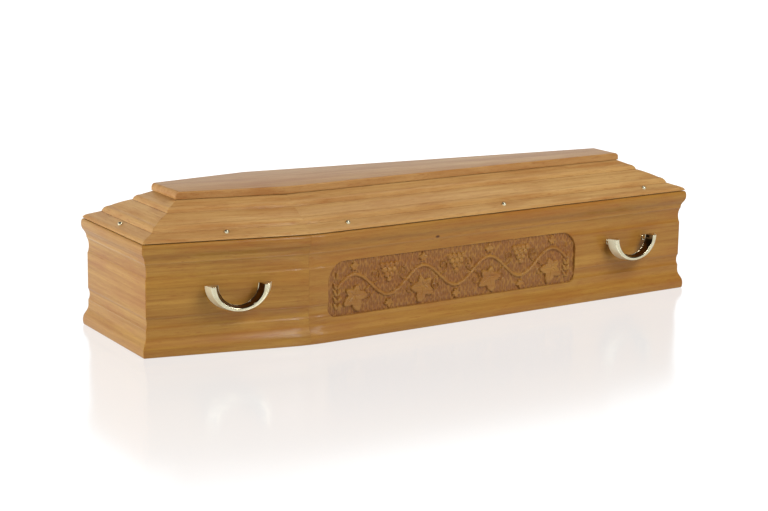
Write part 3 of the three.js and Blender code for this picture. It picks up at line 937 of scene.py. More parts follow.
@dataclass
class MitredBoard:
    """A length of moulding between two mitres, with eased corners."""

    plan: Plan
    side: Side
    section: Section
    lift: float = 0.0
    gap: float = 0.0003
    arris: float = 0.0014
    corner_radius: float = 0.0025
    bend_radius: float = 0.5
    bend_limit: float = math.radians(20)
    corner_steps: int = 8

    def end_spots(self, inset: float, covered: bool, at_end: bool) -> list[Point]:
        """Give the run of a section's point into a mitre.

        Args:
            inset: The point's inset.
            covered: Whether it lies on the hidden side, which has no easing.
            at_end: Whether the mitre is the one at the side's end.

        Returns:
            Places along the side with their insets, from the mitre inwards.
        """
        half_turn = self.plan.half_turns(self.side)[1 if at_end else 0]
        radius = self.bend_radius if half_turn < self.bend_limit else self.corner_radius
        mitre = inset * math.tan(half_turn) + self.gap / 2
        full = radius * math.tan(half_turn)
        spots = []
        for step in range(self.corner_steps + 1):
            share = 1 - step / self.corner_steps
            angle = half_turn * share
            if covered:
                spots.append((mitre + full * (1 - share), inset))
            else:
                along = full - radius * math.sin(angle)
                spots.append((mitre + along, inset + radius * (1 - math.cos(angle))))
        length = self.plan.run(self.side).length
        return [(length - along, drawn) for along, drawn in spots] if at_end else spots

    def row(self, inset: float, height: float, under: bool, middle: Point | None = None) -> list[Triple]:
        """Give one line of points along the board.

        Args:
            inset: Its inset.
            height: Its height.
            under: Whether it lies on the hidden side.
            middle: Further places between the mitres.

        Returns:
            The points, in the board's own frame.
        """
        start = self.end_spots(inset, under, False)
        end = self.end_spots(inset, under, True)
        between = [(x, inset) for x in middle or ()]
        return [(x, y, height) for x, y in (*start, *between, *end[::-1])]

    def built(self, name: str) -> bpy.types.Object:
        """Make the board.

        Args:
            name: Its name.

        Returns:
            The board.
        """
        outline = self.section.softened(self.arris)
        rings = list(zip(*(self.row(*spot[:3]) for spot in outline)))
        mesh = mesh_of(name, *lofted(rings))
        mark_points(mesh, "edge", np.tile([mark for *_, mark in outline], len(rings)))
        return Shop.loose(name, mesh, self.plan.board_frame(self.side, self.lift))


@dataclass
class VineRelief:
    """The carving of the sunk field: a vine with leaves and grapes between ears of wheat."""

    length: float = 0.959
    height: float = 0.170
    half_waves: int = 6
    margin: float = 0.096
    swing: float = 0.038
    stem_width: float = 0.010
    stem_rise: float = 0.0045
    motif_shift: float = 0.027
    leaf_radius: float = 0.054
    leaf_lobes: int = 5
    leaf_rise: float = 0.0056
    leaf_lean: float = 0.3
    leaf_notch: float = 0.56
    leaf_tip: float = 0.2
    vein_depth: float = 0.0022
    vein_width: float = 0.0016
    rib_pitch: float = 0.0062
    rib_depth: float = 0.0005
    fold_depth: float = 0.0008
    leaflet_radius: float = 0.020
    leaflet_rise: float = 0.0044
    grape_radius: float = 0.0094
    grape_rise: float = 0.0058
    grape_rows: int = 4
    grape_pitch: float = 0.0174
    grape_row_pitch: float = 0.015
    ear_inset: float = 0.034
    ear_length: float = 0.104
    ear_foot: float = 0.0645
    ear_grains: int = 4
    grain_length: float = 0.025
    grain_width: float = 0.010
    grain_rise: float = 0.005
    gouge_pitch: Point = (0.0078, 0.020)
    gouge_depth: float = 0.0022
    gouge_jitter: float = 0.3
    gouge_reach: Point = (0.55, 0.6)
    tendril_width: float = 0.0028
    tendril_rise: float = 0.0026
    tendril_length: float = 0.115
    tendril_heading: float = 0.35
    tendril_turn: float = 8.2
    tendril_curl: float = 1.9
    tendril_steps: int = 44
    tendril_taper: float = 0.45
    twist_depth: float = 0.0004
    twist_rate: float = 330.0
    twist_slant: float = 2.6
    tooth_depth: float = 0.05
    teeth_per_lobe: float = 2.5
    crown_places: tuple[float, ...] = (0.0, 0.12, 0.5, 0.85, 0.95, 1.0)
    crown_levels: tuple[float, ...] = (0.62, 0.66, 0.9, 1.0, 0.8, 0.3)
    crown_share: float = 0.86
    vein_end: float = 1.15
    rib_slant: float = 1.3
    rib_clearance: float = 0.003
    least_rise: float = 0.0004
    leaflet_overlap: float = 0.002
    grain_taper: float = 0.35
    grain_groove: Point = (0.0011, 0.0012)
    grain_spread: float = 0.7
    grain_lean: float = 0.5
    seed: int = 7

    def half_wave(self) -> float:
        """Give the length of half a wave of the stem."""
        return (self.length - 2 * self.margin) / self.half_waves

    def stem_height(self, x: Grid | float) -> Grid | float:
        """Give the stem's height at a place along the field."""
        start = -self.length / 2 + self.margin
        return self.swing * np.cos(np.pi * (x - start) / self.half_wave())

    def gouged_ground(self, x: Grid, y: Grid) -> Grid:
        """Hollow the ground with short upright strokes of a round gouge.

        Args:
            x: Places along the field.
            y: Heights in the field.

        Returns:
            The ground's height, 0 or less.
        """
        rng = np.random.default_rng(self.seed)
        pitch_x, pitch_y = self.gouge_pitch
        reach_x, reach_y = (share * pitch for share, pitch in zip(self.gouge_reach, self.gouge_pitch))
        shape = (int(self.height / pitch_y) + 4, int(self.length / pitch_x) + 4)
        jitter = rng.uniform(-self.gouge_jitter, self.gouge_jitter, (*shape, 2))
        column = np.floor((x + self.length / 2) / pitch_x).astype(int) + 1
        row = np.floor((y + self.height / 2) / pitch_y).astype(int) + 1
        hollow = np.zeros(x.shape)
        for step_row in (-1, 0, 1):
            for step_column in (-1, 0, 1):
                r = np.clip(row + step_row, 0, shape[0] - 1)
                c = np.clip(column + step_column, 0, shape[1] - 1)
                shift = jitter[r, c]
                at_x = (c - 0.5 + shift[..., 0]) * pitch_x - self.length / 2
                at_y = (r - 0.5 + 0.5 * (c % 2) + shift[..., 1]) * pitch_y - self.height / 2
                away = ((x - at_x) / reach_x) ** 2 + ((y - at_y) / reach_y) ** 2
                hollow = np.maximum(hollow, np.clip(1 - away, 0, 1))
        return -self.gouge_depth * hollow

    @staticmethod
    def domed(share: Grid, rise: float | Grid, extra: float | Grid = 0.0) -> Grid:
        """Give a round top with something added, less than 0 past a share of 1 from its middle."""
        return np.where(np.abs(share) < 1, rise * np.sqrt(np.clip(1 - share**2, 0, 1)) + extra, -1.0)

    def stem(self, x: Grid, y: Grid) -> Grid:
        """Carve the stem, round and with a slow twist of grooves.

        Args:
            x: Places along the field.
            y: Heights in the field.

        Returns:
            Its height, less than 0 outside it.
        """
        slope = (self.stem_height(x + STEP) - self.stem_height(x - STEP)) / (2 * STEP)
        share = (y - self.stem_height(x)) / np.sqrt(1 + slope**2) / (self.stem_width / 2)
        twist = self.twist_depth * np.sin(x * self.twist_rate + share * self.twist_slant)
        top = self.domed(share, self.stem_rise, twist)
        return np.where(np.abs(x) < self.length / 2 - self.ear_inset, top, -1.0)

    def leaf(self, x: Grid, y: Grid, radius: float, rise: float, tip: float) -> Grid:
        """Carve a lobed leaf about the origin, with a sunk vein in each lobe.

        Args:
            x: Places along the field.
            y: Heights in the field.
            radius: Reach of its longest lobe.
            rise: Its height.
            tip: Direction of the longest lobe.

        Returns:
            Its height, less than 0 outside it.
        """
        distance = np.hypot(x, y)
        turn = np.arctan2(y, x) - tip
        pitch = 2 * np.pi / self.leaf_lobes
        off_turn = (turn + pitch / 2) % pitch - pitch / 2
        lobe = 1 - 2 * np.abs(off_turn) / pitch
        teeth = 1 + self.tooth_depth * np.abs(np.sin(off_turn * self.leaf_lobes * self.teeth_per_lobe))
        tip_share = 1 - self.leaf_tip * (1 - np.cos(turn))
        reach = radius * tip_share * (self.leaf_notch + (1 - self.leaf_notch) * np.abs(lobe)) * teeth
        share = distance / reach
        across = np.abs(distance * np.sin(off_turn))
        size, growth = rise / self.leaf_rise, radius / self.leaf_radius
        vein = self.vein_depth * growth * np.exp(-((across * 2 / self.vein_width / (1 + growth)) ** 2))
        ribs = np.cos((distance - across * self.rib_slant) * (2 * np.pi / self.rib_pitch))
        ribs = self.rib_depth * size * ribs * np.clip(across / self.rib_clearance, 0, 1)
        fold = self.fold_depth * size * np.clip(lobe, 0, 1)
        crown = rise * self.crown_share * np.interp(share, self.crown_places, self.crown_levels)
        body = crown + fold + ribs - vein * np.clip(self.vein_end - share, 0, 1)
        return np.where(share < 1, np.clip(body, self.least_rise, rise), -1.0)

    def grain(self, x: Grid, y: Grid, lean: float) -> Grid:
        """Carve a grain of wheat about the origin, with a groove down its length.

        Args:
            x: Places along the field.
            y: Heights in the field.
            lean: Its turn from upright.

        Returns:
            Its height, less than 0 outside it.
        """
        along = (y * math.cos(lean) - x * math.sin(lean)) / (self.grain_length / 2)
        across = x * math.cos(lean) + y * math.sin(lean)
        half = self.grain_width / 2 * (1 - self.grain_taper * np.clip(along, -1, 1))
        width, depth = self.grain_groove
        groove = depth * np.exp(-((across / width) ** 2))
        return self.domed(np.hypot(along, across / half), self.grain_rise, -groove)

    def ridge(self, x: Grid, y: Grid, route: Grid) -> Grid:
        """Carve a tendril along a route, tapering to its end.

        Args:
            x: Places along the field.
            y: Heights in the field.
            route: Points of the route.

        Returns:
            Its height, less than 0 outside it.
        """
        result = np.full(x.shape, -1.0)
        low = route.min(axis=0) - self.tendril_width
        high = route.max(axis=0) + self.tendril_width
        near = (x > low[0]) & (x < high[0]) & (y > low[1]) & (y < high[1])
        px, py = x[near], y[near]
        best = np.full(px.shape, -1.0)
        for i, (start, end) in enumerate(zip(route, route[1:])):
            taper = 1 - self.tendril_taper * i / len(route)
            span = end - start
            share = ((px - start[0]) * span[0] + (py - start[1]) * span[1]) / (span @ span)
            share = np.clip(share, 0, 1)
            off = np.hypot(px - start[0] - span[0] * share, py - start[1] - span[1] * share)
            level = off / (self.tendril_width / 2 * taper)
            best = np.maximum(best, self.domed(level, self.tendril_rise * taper))
        result[near] = best
        return result

    def tendril(self, start: Point, heading: float, turn: float) -> Grid:
        """Give the route of a tendril that curls up at its end.

        Args:
            start: Where it leaves the stem.
            heading: Direction in which it leaves.
            turn: Its whole turn, with the sign of its sense.

        Returns:
            Points of the route.
        """
        steps = self.tendril_steps
        route = [np.array(start, dtype=float)]
        for step in range(steps):
            angle = heading + turn * ((step + 0.5) / steps) ** self.tendril_curl
            way = np.array((math.cos(angle), math.sin(angle)))
            route.append(route[-1] + way * self.tendril_length / steps)
        return np.array(route)

    def tendrils(self) -> list[Grid]:
        """Give the routes of all tendrils."""
        routes = []
        for motif in range(self.half_waves):
            middle = -self.length / 2 + self.margin + (motif + 0.5) * self.half_wave()
            sense = 1 if motif % 2 == 0 else -1
            start = (middle, float(self.stem_height(middle)))
            for back in (0.0, math.pi):
                heading = back + sense * self.tendril_heading
                routes.append(self.tendril(start, heading, sense * self.tendril_turn))
        return routes

    def level(self, x: Grid, y: Grid) -> Grid:
        """Give the height of the whole carving above the field's ground.

        Args:
            x: Places along the field.
            y: Heights in the field.

        Returns:
            The height in metres.
        """
        layers = [self.gouged_ground(x, y), self.stem(x, y)]
        for motif in range(self.half_waves + 1):
            at = -self.length / 2 + self.margin + motif * self.half_wave()
            layers.extend(self.motif(x - at, y, motif))
        for end in (-1, 1):
            layers.extend(self.ear(x - end * (self.length / 2 - self.ear_inset), y))
        for route in self.tendrils():
            layers.append(self.ridge(x, y, route))
        return np.maximum.reduce(layers)

    def motif(self, x: Grid, y: Grid, number: int) -> list[Grid]:
        """Carve a leaf or a bunch of grapes and the leaflet across the stem from it.

        Args:
            x: Places along the field from the motif's middle.
            y: Heights in the field.
            number: The motif's number.

        Returns:
            Heights of its parts.
        """
        side = -1 if number % 2 == 0 else 1
        high = self.swing + self.leaflet_radius + self.stem_width / 2 - self.leaflet_overlap
        tip = -side * math.pi / 2
        parts = [self.leaf(x, y + side * high, self.leaflet_radius, self.leaflet_rise, tip)]
        if side < 0:
            tip = (self.leaf_lean if number % 4 == 0 else -self.leaf_lean) - math.pi / 2
            leaf_y = y - side * self.motif_shift
            parts.append(self.leaf(x, leaf_y, self.leaf_radius, self.leaf_rise, tip))
            return parts
        stack = (self.grape_rows - 1) * self.grape_row_pitch + self.grape_radius
        top = side * self.motif_shift + stack / 2
        for row in range(self.grape_rows):
            berries = self.grape_rows - row
            for i in range(berries):
                off_x = x - (i - (berries - 1) / 2) * self.grape_pitch
                off_y = y - top + row * self.grape_row_pitch
                parts.append(self.domed(np.hypot(off_x, off_y) / self.grape_radius, self.grape_rise))
        return parts

    def ear(self, x: Grid, y: Grid) -> list[Grid]:
        """Carve an ear of wheat.

        Args:
            x: Places along the field from the ear's middle.
            y: Heights in the field.

        Returns:
            Heights of its grains.
        """
        pitch = self.ear_length / (self.ear_grains + 1)
        grains = [self.grain(x, y + self.ear_foot - self.ear_length, 0.0)]
        for row in range(self.ear_grains):
            high = y + self.ear_foot - (row + 0.5) * pitch
            for sense in (1, -1):
                aside = x + sense * self.grain_width * self.grain_spread
                grains.append(self.grain(aside, high, sense * self.grain_lean))
        return grains


@dataclass
class CarvedBoard(MitredBoard):
    """The front plank of the foot side, with the sunk field and its carving."""

    relief: VineRelief = field(default_factory=VineRelief)
    field_from_start: float = 0.068
    field_bottom: float = 0.072
    field_corner: float = 0.060
    field_low_corner: float = 0.026
    ground: float = 0.0203
    wall_width: float = 0.0015
    pitch: float = 0.0015
    band_foot: float = 0.066
    fine_foot: float = 0.0675
    fine_top: float = 0.2475
    band_top: float = 0.274
    top_rows: int = 6
    spare_columns: int = 3
    snap_rounds: int = 2

    def field_distance(self, x: Grid, y: Grid) -> Grid:
        """Give the distance to the field's outline, less than 0 inside it.

        Args:
            x: Places along the field from its middle.
            y: Heights from its middle.

        Returns:
            The signed distance.
        """
        corner = np.where(y > 0, self.field_corner, self.field_low_corner)
        across = np.abs(x) - self.relief.length / 2 + corner
        up = np.abs(y) - self.relief.height / 2 + corner
        outside = np.hypot(np.maximum(across, 0), np.maximum(up, 0))
        return outside + np.minimum(np.maximum(across, up), 0) - corner

    def snapped(self, x: Grid, y: Grid) -> tuple[Grid, Grid]:
        """Move grid points near the field's rim and foot onto them.

        Args:
            x: Places along the field from its middle.
            y: Heights from its middle.

        Returns:
            The moved places and heights.
        """
        step = FINE_STEP
        for _ in range(self.snap_rounds):
            distance = self.field_distance(x, y)
            slope_x = self.field_distance(x + step, y) - self.field_distance(x - step, y)
            slope_y = self.field_distance(x, y + step) - self.field_distance(x, y - step)
            to_rim = np.where(np.abs(distance) <= self.pitch / 2, distance, 0.0)
            low = distance + self.wall_width
            to_foot = np.where((np.abs(low) < self.pitch / 2) & (to_rim == 0), low, 0.0)
            x = x - slope_x * (to_rim + to_foot) / (2 * step)
            y = y - slope_y * (to_rim + to_foot) / (2 * step)
        return x, y

    def rows(self) -> tuple[list[Spot], list[Spot], list[Spot]]:
        """Give the section below the band that holds the field, in the band, and above it."""
        outline = self.section.softened(self.arris)
        low, high = self.band_foot - TINY, self.band_top + TINY
        band = [i for i, (_, z, under, _) in enumerate(outline) if low <= z <= high and not under]
        return outline[: band[0]], outline[band[0] : band[-1] + 1], outline[band[-1] + 1 :]

    def band_rows(self, band: Sequence[Spot]) -> list[Spot]:
        """Give the fine rows of the band.

        Args:
            band: The section's points in the band.

        Returns:
            A row at the band's foot, then the fine ones.
        """
        count = int(round((self.fine_top - self.fine_foot) / self.pitch))
        heights = [*np.linspace(self.fine_foot, self.fine_top, count + 1)]
        heights += [*np.linspace(self.fine_top, self.band_top, self.top_rows + 1)][1:]
        insets, levels, _, marks = zip(*band)
        rows = [(insets[0], self.band_foot, False, 0.0)]
        for z in heights:
            inset = float(np.interp(z, levels, insets))
            rows.append((inset, float(z), False, float(np.interp(z, levels, marks))))
        return rows

    def carve(self, x: Grid, z: Grid, band: Sequence[Spot]) -> tuple[Grid, Grid, Grid]:
        """Carve the field.

        Args:
            x: Places along the board.
            z: Heights on it.
            band: The section's points in the band.

        Returns:
            The points, how far each is carved, and its level in the relief.
        """
        insets, levels, *_ = zip(*band)
        middle = self.field_from_start + self.relief.length / 2
        x, y = self.snapped(x - middle, z - self.field_bottom - self.relief.height / 2)
        share = np.clip(-self.field_distance(x, y) / self.wall_width, 0, 1)
        z = y + self.field_bottom + self.relief.height / 2
        level = self.relief.level(x, y)
        depth = np.interp(z, levels, insets) * (1 - share) + (self.ground - level) * share
        raised = np.clip(level / self.relief.leaf_rise, -1, 1) * share
        return np.stack((x + middle, depth, z), axis=-1).reshape(-1, 3), share, raised

    def built(self, name: str) -> bpy.types.Object:
        """Make the board with its carving.

        Args:
            name: Its name.

        Returns:
            The board.
        """
        below, band, above = self.rows()
        fine = self.band_rows(band)
        rows = [*below, *fine, *above]
        half = int(self.relief.length / 2 / self.pitch) + self.spare_columns
        middle = self.field_from_start + self.relief.length / 2
        columns = middle + np.arange(-half, half + 1) * self.pitch
        ends = (float(columns[0]), float(columns[-1]))
        rings = list(zip(*(self.row(*row[:3], ends) for row in rows)))
        points, faces = lofted(rings)
        size, foot = len(rows), len(below)
        left = (self.corner_steps + 1) * size
        right, top = left + size, foot + len(fine)
        faces = [face for face in faces if not self.in_window(face, size, left // size, foot, top)]
        grid_x, grid_z = np.meshgrid(columns[1:-1], np.array([row[1] for row in fine[1:]]))
        fresh, share, raised = self.carve(grid_x, grid_z, band)
        base, (tall, width) = len(points), grid_x.shape
        points += [tuple(point) for point in fresh.tolist()]
        numbers = np.empty((tall, width + 2), dtype=int)
        numbers[:, 1:-1] = base + np.arange(tall * width).reshape(tall, width)
        numbers[:, 0] = left + foot + 1 + np.arange(tall)
        numbers[:, -1] = right + foot + 1 + np.arange(tall)
        corners = (numbers[:-1, :-1], numbers[:-1, 1:], numbers[1:, 1:], numbers[1:, :-1])
        faces += np.stack(corners, axis=-1).reshape(-1, 4).tolist()
        faces.append([left + foot, right + foot, *numbers[0, ::-1].tolist()])
        faces.append([*numbers[-1].tolist(), right + top, left + top])
        mesh = mesh_of(name, points, faces)
        edges = np.tile([mark for *_, mark in rows], len(rings))
        ground, none = np.zeros(base), np.zeros(tall * width)
        mark_points(mesh, "carved", np.concatenate((ground, share.reshape(-1))))
        mark_points(mesh, "relief", np.concatenate((ground, raised.reshape(-1))))
        mark_points(mesh, "edge", np.concatenate((edges, none)))
        return Shop.loose(name, mesh, self.plan.board_frame(self.side, self.lift))

    @staticmethod
    def in_window(face: Sequence[int], size: int, ring: int, low: int, high: int) -> bool:
        """Tell whether a face lies where the fine rows go.

        Args:
            face: Numbers of its points.
            size: Points in a ring.
            ring: Number of the ring before the window.
            low: First row of the window.
            high: Last row of the window.

        Returns:
            Whether the face gives way.
        """
        rings = {index // size for index in face}
        rows = [index % size for index in face]
        return rings == {ring, ring + 1} and min(rows) >= low and max(rows) <= high


@dataclass
class Walls:
    """The six moulded planks and the bottom board between them."""

    plan: Plan
    height: float = 0.335
    thickness: float = 0.035
    panel_depth: float = 0.0143
    cove_depth: float = 0.0036
    base_ease: float = 0.004
    base_nose: float = 0.015
    base_top: float = 0.066
    lower_cove: Point = (0.080, 0.116)
    upper_cove_drops: Point = (0.107, 0.061)
    quirk: float = 0.0016
    quirk_height: float = 0.003
    lip_nose_drop: float = 0.017
    lip_top_ease: float = 0.007
    wood: WoodFinish = WoodFinish()
    cuts: tuple[Cut, ...] = (
        Cut((3.1, 0.4, 7.7)),
        Cut(
            (9.2, 5.5, 1.3),
            heart_depth=0.05,
            heart_height=-0.05,
            wander=0.06,
            warmth=0.16,
            knot=Knot(along=0.468, height=0.282),
        ),
        Cut((1.6, 8.8, 2.4), warmth=0.05),
        Cut((6.3, 2.2, 4.9), heart_depth=0.12, heart_height=-0.2, wander=0.05),
        Cut((4.4, 6.1, 8.2), warmth=0.08),
        Cut((7.9, 3.3, 5.6), heart_depth=0.1, heart_height=-0.3, wander=0.03),
    )
    bottom_cut: Cut = Cut((2.7, 7.1, 0.9), warmth=0.1)

    def section(self) -> Section:
        """Give the section of every plank."""
        lip_foot = self.height - self.upper_cove_drops[1]
        section = Section()
        section.to(self.thickness, 0.0, hidden=True).to(self.base_ease, 0.0)
        section.curve((0.0, 0.0), (0.0, self.base_nose))
        section.ogee(self.panel_depth, self.base_top)
        section.to(self.panel_depth, self.lower_cove[0])
        section.cove(self.cove_depth, self.panel_depth, self.lower_cove[1])
        section.to(self.panel_depth, self.height - self.upper_cove_drops[0])
        section.cove(self.cove_depth, self.panel_depth, lip_foot)
        section.to(self.panel_depth - self.quirk, lip_foot + self.quirk_height)
        section.ogee(0.0, self.height - self.lip_nose_drop)
        section.curve((0.0, self.height), (self.lip_top_ease, self.height))
        return section.to(self.thickness, self.height, hidden=True)

    def build(self) -> None:
        """Make and dress the planks, and dress the bottom board."""
        for side, cut in zip(Side, self.cuts):
            name = f"{side.label()}_{'end' if side.is_end() else 'side'}_plank"
            carved = side is Side.FRONT_FOOT
            kind = CarvedBoard if carved else MitredBoard
            piece = kind(self.plan, side, self.section()).built(f"{name}_wood")
            material = self.wood.material(f"{name}_finish", cut, carved)
            Shop.finished(piece, material, "wall_wood", name)
        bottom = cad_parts["bottom_board"]
        bottom.data.materials.clear()
        bottom.data.materials.append(self.wood.material("bottom_board_finish", self.bottom_cut))
        LOG.info("bottom_board keeps its solid")


@dataclass
class Screws:
    """The lid screws: where they stand, and their heads."""

    plan: Plan
    inset: float = 0.033
    from_head: float = 0.262
    past_shoulder: float = 0.145
    from_foot: float = 0.169
    seat: float = 0.3518
    head_radius: float = 0.008
    head_rim: float = 0.005
    dome: float = 0.005
    shank_radius: float = 0.003
    length: float = 0.034
    clearance: float = 0.0003
    bore_top: float = 0.03
    ease: float = 0.0004
    pole: float = 0.0002
    sides: int = 40
    dome_steps: int = 9
    brass: BrassFinish = BrassFinish()

    def places(self) -> dict[str, tuple[Side, Vector]]:
        """Give the side and the place of each screw."""
        end = self.plan.length / 2
        shoulder = self.plan.shoulder_from_head - end
        second = shoulder + self.past_shoulder
        last = end - self.from_foot
        stations = [self.from_head - end, second, (second + last) / 2, last]
        places = {}
        for row, sides in (("front", FRONT_SIDES), ("back", BACK_SIDES)):
            for number, x in enumerate(stations, 1):
                side = sides[x > shoulder]
                places[f"{row}_{number}"] = (side, self.plan.place(side, x, self.inset))
        for side, sense in ((Side.HEAD, -1), (Side.FOOT, 1)):
            places[side.label()] = (side, Vector((sense * (end - self.inset), 0.0)))
        spots = {name: (side, (*spot, self.seat)) for name, (side, spot) in places.items()}
        return {f"lid_screw_{name}": (side, Vector(spot)) for name, (side, spot) in spots.items()}

    def drill(self, piece: bpy.types.Object, side: Side) -> None:
        """Cut the spot faces and bores of a side's screws out of a piece.

        Args:
            piece: The piece.
            side: The side.
        """
        wide = self.head_radius + self.clearance
        narrow = self.shank_radius + self.clearance
        foot = -self.length - self.clearance
        profile = [(narrow, foot), (narrow, -self.clearance)]
        profile += [(wide, -self.clearance), (wide, self.bore_top)]
        for place_side, spot in self.places().values():
            if place_side is side:
                mesh = mesh_of("screw_room", *lathed(profile, self.sides))
                room = Shop.loose("screw_room", mesh, Matrix.Translation(spot))
                Shop.fused(piece, room, Fusing.CUT)

    def build(self) -> None:
        """Make and dress the screws."""
        rim, shank, ease = self.head_radius, self.shank_radius, self.ease
        profile = [(ease, -self.length), (shank, shank - self.length), (shank, 0.0)]
        profile += [(rim - ease, 0.0), (rim, ease)]
        for step in range(self.dome_steps):
            angle = math.pi / 2 * step / self.dome_steps
            profile.append((rim * math.cos(angle), self.head_rim + self.dome * math.sin(angle)))
        profile.append((self.pole, self.head_rim + self.dome))
        for name, (_, spot) in self.places().items():
            mesh = mesh_of(f"{name}_brass", *lathed(profile, self.sides))
            piece = Shop.loose(f"{name}_brass", mesh, Matrix.Translation(spot))
            Shop.finished(piece, self.brass.material(f"{name}_finish"), "screw_brass", name)


@dataclass
class Lid:
    """The six stepped mouldings of the lid and the flat board on top of them."""

    plan: Plan
    screws: Screws
    base: float = 0.3353
    edge_inset: float = 0.004
    shadow_gap: Point = (0.009, 0.0025)
    nose: Point = (0.014, 0.0145)
    ledge: Point = (0.033, 0.011)
    lower_step: Point = (0.019, 0.0175)
    terrace: Point = (0.057, 0.0235)
    upper_step: Point = (0.017, 0.015)
    slope: Point = (0.034, 0.0145)
    groove: Point = (0.0024, 0.0022)
    seat_width: float = 0.030
    seat_thickness: float = 0.016
    foot_width: float = 0.034
    board_base: float = 0.4316
    board_thickness: float = 0.023
    board_inset: float = 0.173
    end_round: float = 0.014
    side_round: float = 0.004
    foot_ease: float = 0.0012
    ease_share: float = 0.3
    round_steps: int = 12
    nose_bulge: Point = (0.4, 0.85)
    terrace_dip: float = 0.35
    terrace_end_slope: float = 0.7
    # Painted light: the lid's wood is paler than the walls' wood, for the brighter light that falls on
    # it from above.
    wood: WoodFinish = WoodFinish(
        pale=srgb(193, 154, 97),
        deep=srgb(154, 111, 61),
        ring_share=0.2,
        streak_share=0.44,
        varnish=0.12,
        specular=0.06,
    )
    cuts: tuple[Cut, ...] = (
        Cut((5.1, 1.4, 2.7), heart_depth=0.2, heart_height=-0.25),
        Cut((8.2, 3.5, 6.3), heart_depth=0.2, heart_height=-0.3, wander=0.04),
        Cut((0.6, 4.8, 9.4), heart_depth=0.2, heart_height=-0.3),
        Cut((3.3, 9.2, 1.9), heart_depth=0.25, heart_height=-0.2),
        Cut((7.4, 0.1, 3.2), heart_depth=0.2, heart_height=-0.3),
        Cut((2.9, 6.3, 4.6), heart_depth=0.2, heart_height=-0.28),
    )
    top_cut: Cut = Cut((6.6, 2.8, 9.9), 0.3, -0.02, wander=0.05, warmth=0.1)

    def section(self) -> Section:
        """Give the section of every moulding."""
        section = Section()
        gap_inset, gap_top = self.edge_inset + self.shadow_gap[0], self.shadow_gap[1]
        section.to(self.edge_inset + self.foot_width, 0.0, hidden=True)
        section.to(gap_inset, 0.0, hidden=True).to(gap_inset, gap_top, hidden=True)
        section.to(self.edge_inset, gap_top)
        nose_width, nose_height = self.nose
        ledge_inset = self.edge_inset + nose_width
        bulge = (self.edge_inset + nose_width * self.nose_bulge[0], nose_height * self.nose_bulge[1])
        section.curve((self.edge_inset, nose_height / 2), bulge, (ledge_inset, nose_height))
        step_inset, step_foot = ledge_inset + self.ledge[0], nose_height + self.ledge[1]
        width, depth = self.groove
        section.to(step_inset - width, step_foot - width * self.ledge[1] / self.ledge[0])
        section.groove(step_inset, step_foot, depth)
        section.quarter_round(*self.lower_step)
        inset, foot = section.points[-1]
        terrace_width, terrace_rise = self.terrace
        upper_inset, top = inset + terrace_width, foot + terrace_rise
        slope = self.terrace_end_slope * terrace_rise / terrace_width
        dip = (inset + terrace_width / 2, top - terrace_rise * self.terrace_dip)
        section.curve(dip, (upper_inset - width, top - width * slope))
        section.groove(upper_inset, top, depth)
        section.quarter_round(*self.upper_step)
        inset, foot = section.points[-1]
        inset, top = inset + self.slope[0], foot + self.slope[1]
        section.to(inset, top).to(inset + self.seat_width, top, hidden=True)
        return section.to(inset + self.seat_width, top - self.seat_thickness, hidden=True)

    def drawn_in(self, height: float, radius: float) -> float:
        """Give how far an edge rounded by a radius has drawn in at a height of the board."""
        rise = max(0.0, height - (self.board_thickness - radius))
        return radius - math.sqrt(max(0.0, radius * radius - rise * rise))

    def top_board(self, name: str) -> bpy.types.Object:
        """Make the board on top.

        Args:
            name: Its name.

        Returns:
            The board.
        """
        ease, share = self.foot_ease, self.foot_ease * self.ease_share
        layers = [(0.0, ease), (share, share), (ease, 0.0)]
        ends, sides = (self.end_round, 0, self.round_steps), (self.side_round, 1, self.round_steps // 2)
        for radius, first, steps in (ends, sides):
            for step in range(first, steps + 1):
                turn = math.pi / 2 * step / steps
                layers.append((self.board_thickness - radius * (1 - math.sin(turn)), 0.0))
        rings = []
        for height, extra in sorted(set(layers)):
            drawn = (self.drawn_in(height, radius) for radius in (self.side_round, self.end_round))
            corners = self.plan.inset_corners(*(self.board_inset + extra + inset for inset in drawn))
            rings.append([(corner.x, corner.y, height) for corner in corners])
        place = Matrix.Translation((0, 0, self.board_base))
        return Shop.loose(name, mesh_of(name, *lofted(rings)), place)

    def build(self) -> None:
        """Make and dress the mouldings and the board."""
        for side, cut in zip(Side, self.cuts):
            name = f"lid_{side.label()}_moulding"
            board = MitredBoard(self.plan, side, self.section(), lift=self.base)
            piece = board.built(f"{name}_wood")
            self.screws.drill(piece, side)
            Shop.finished(piece, self.wood.material(f"{name}_finish", cut), "lid_wood", name)
        material = self.wood.material("lid_top_board_finish", self.top_cut)
        Shop.finished(self.top_board("lid_top_board_wood"), material, "lid_wood", "lid_top_board")


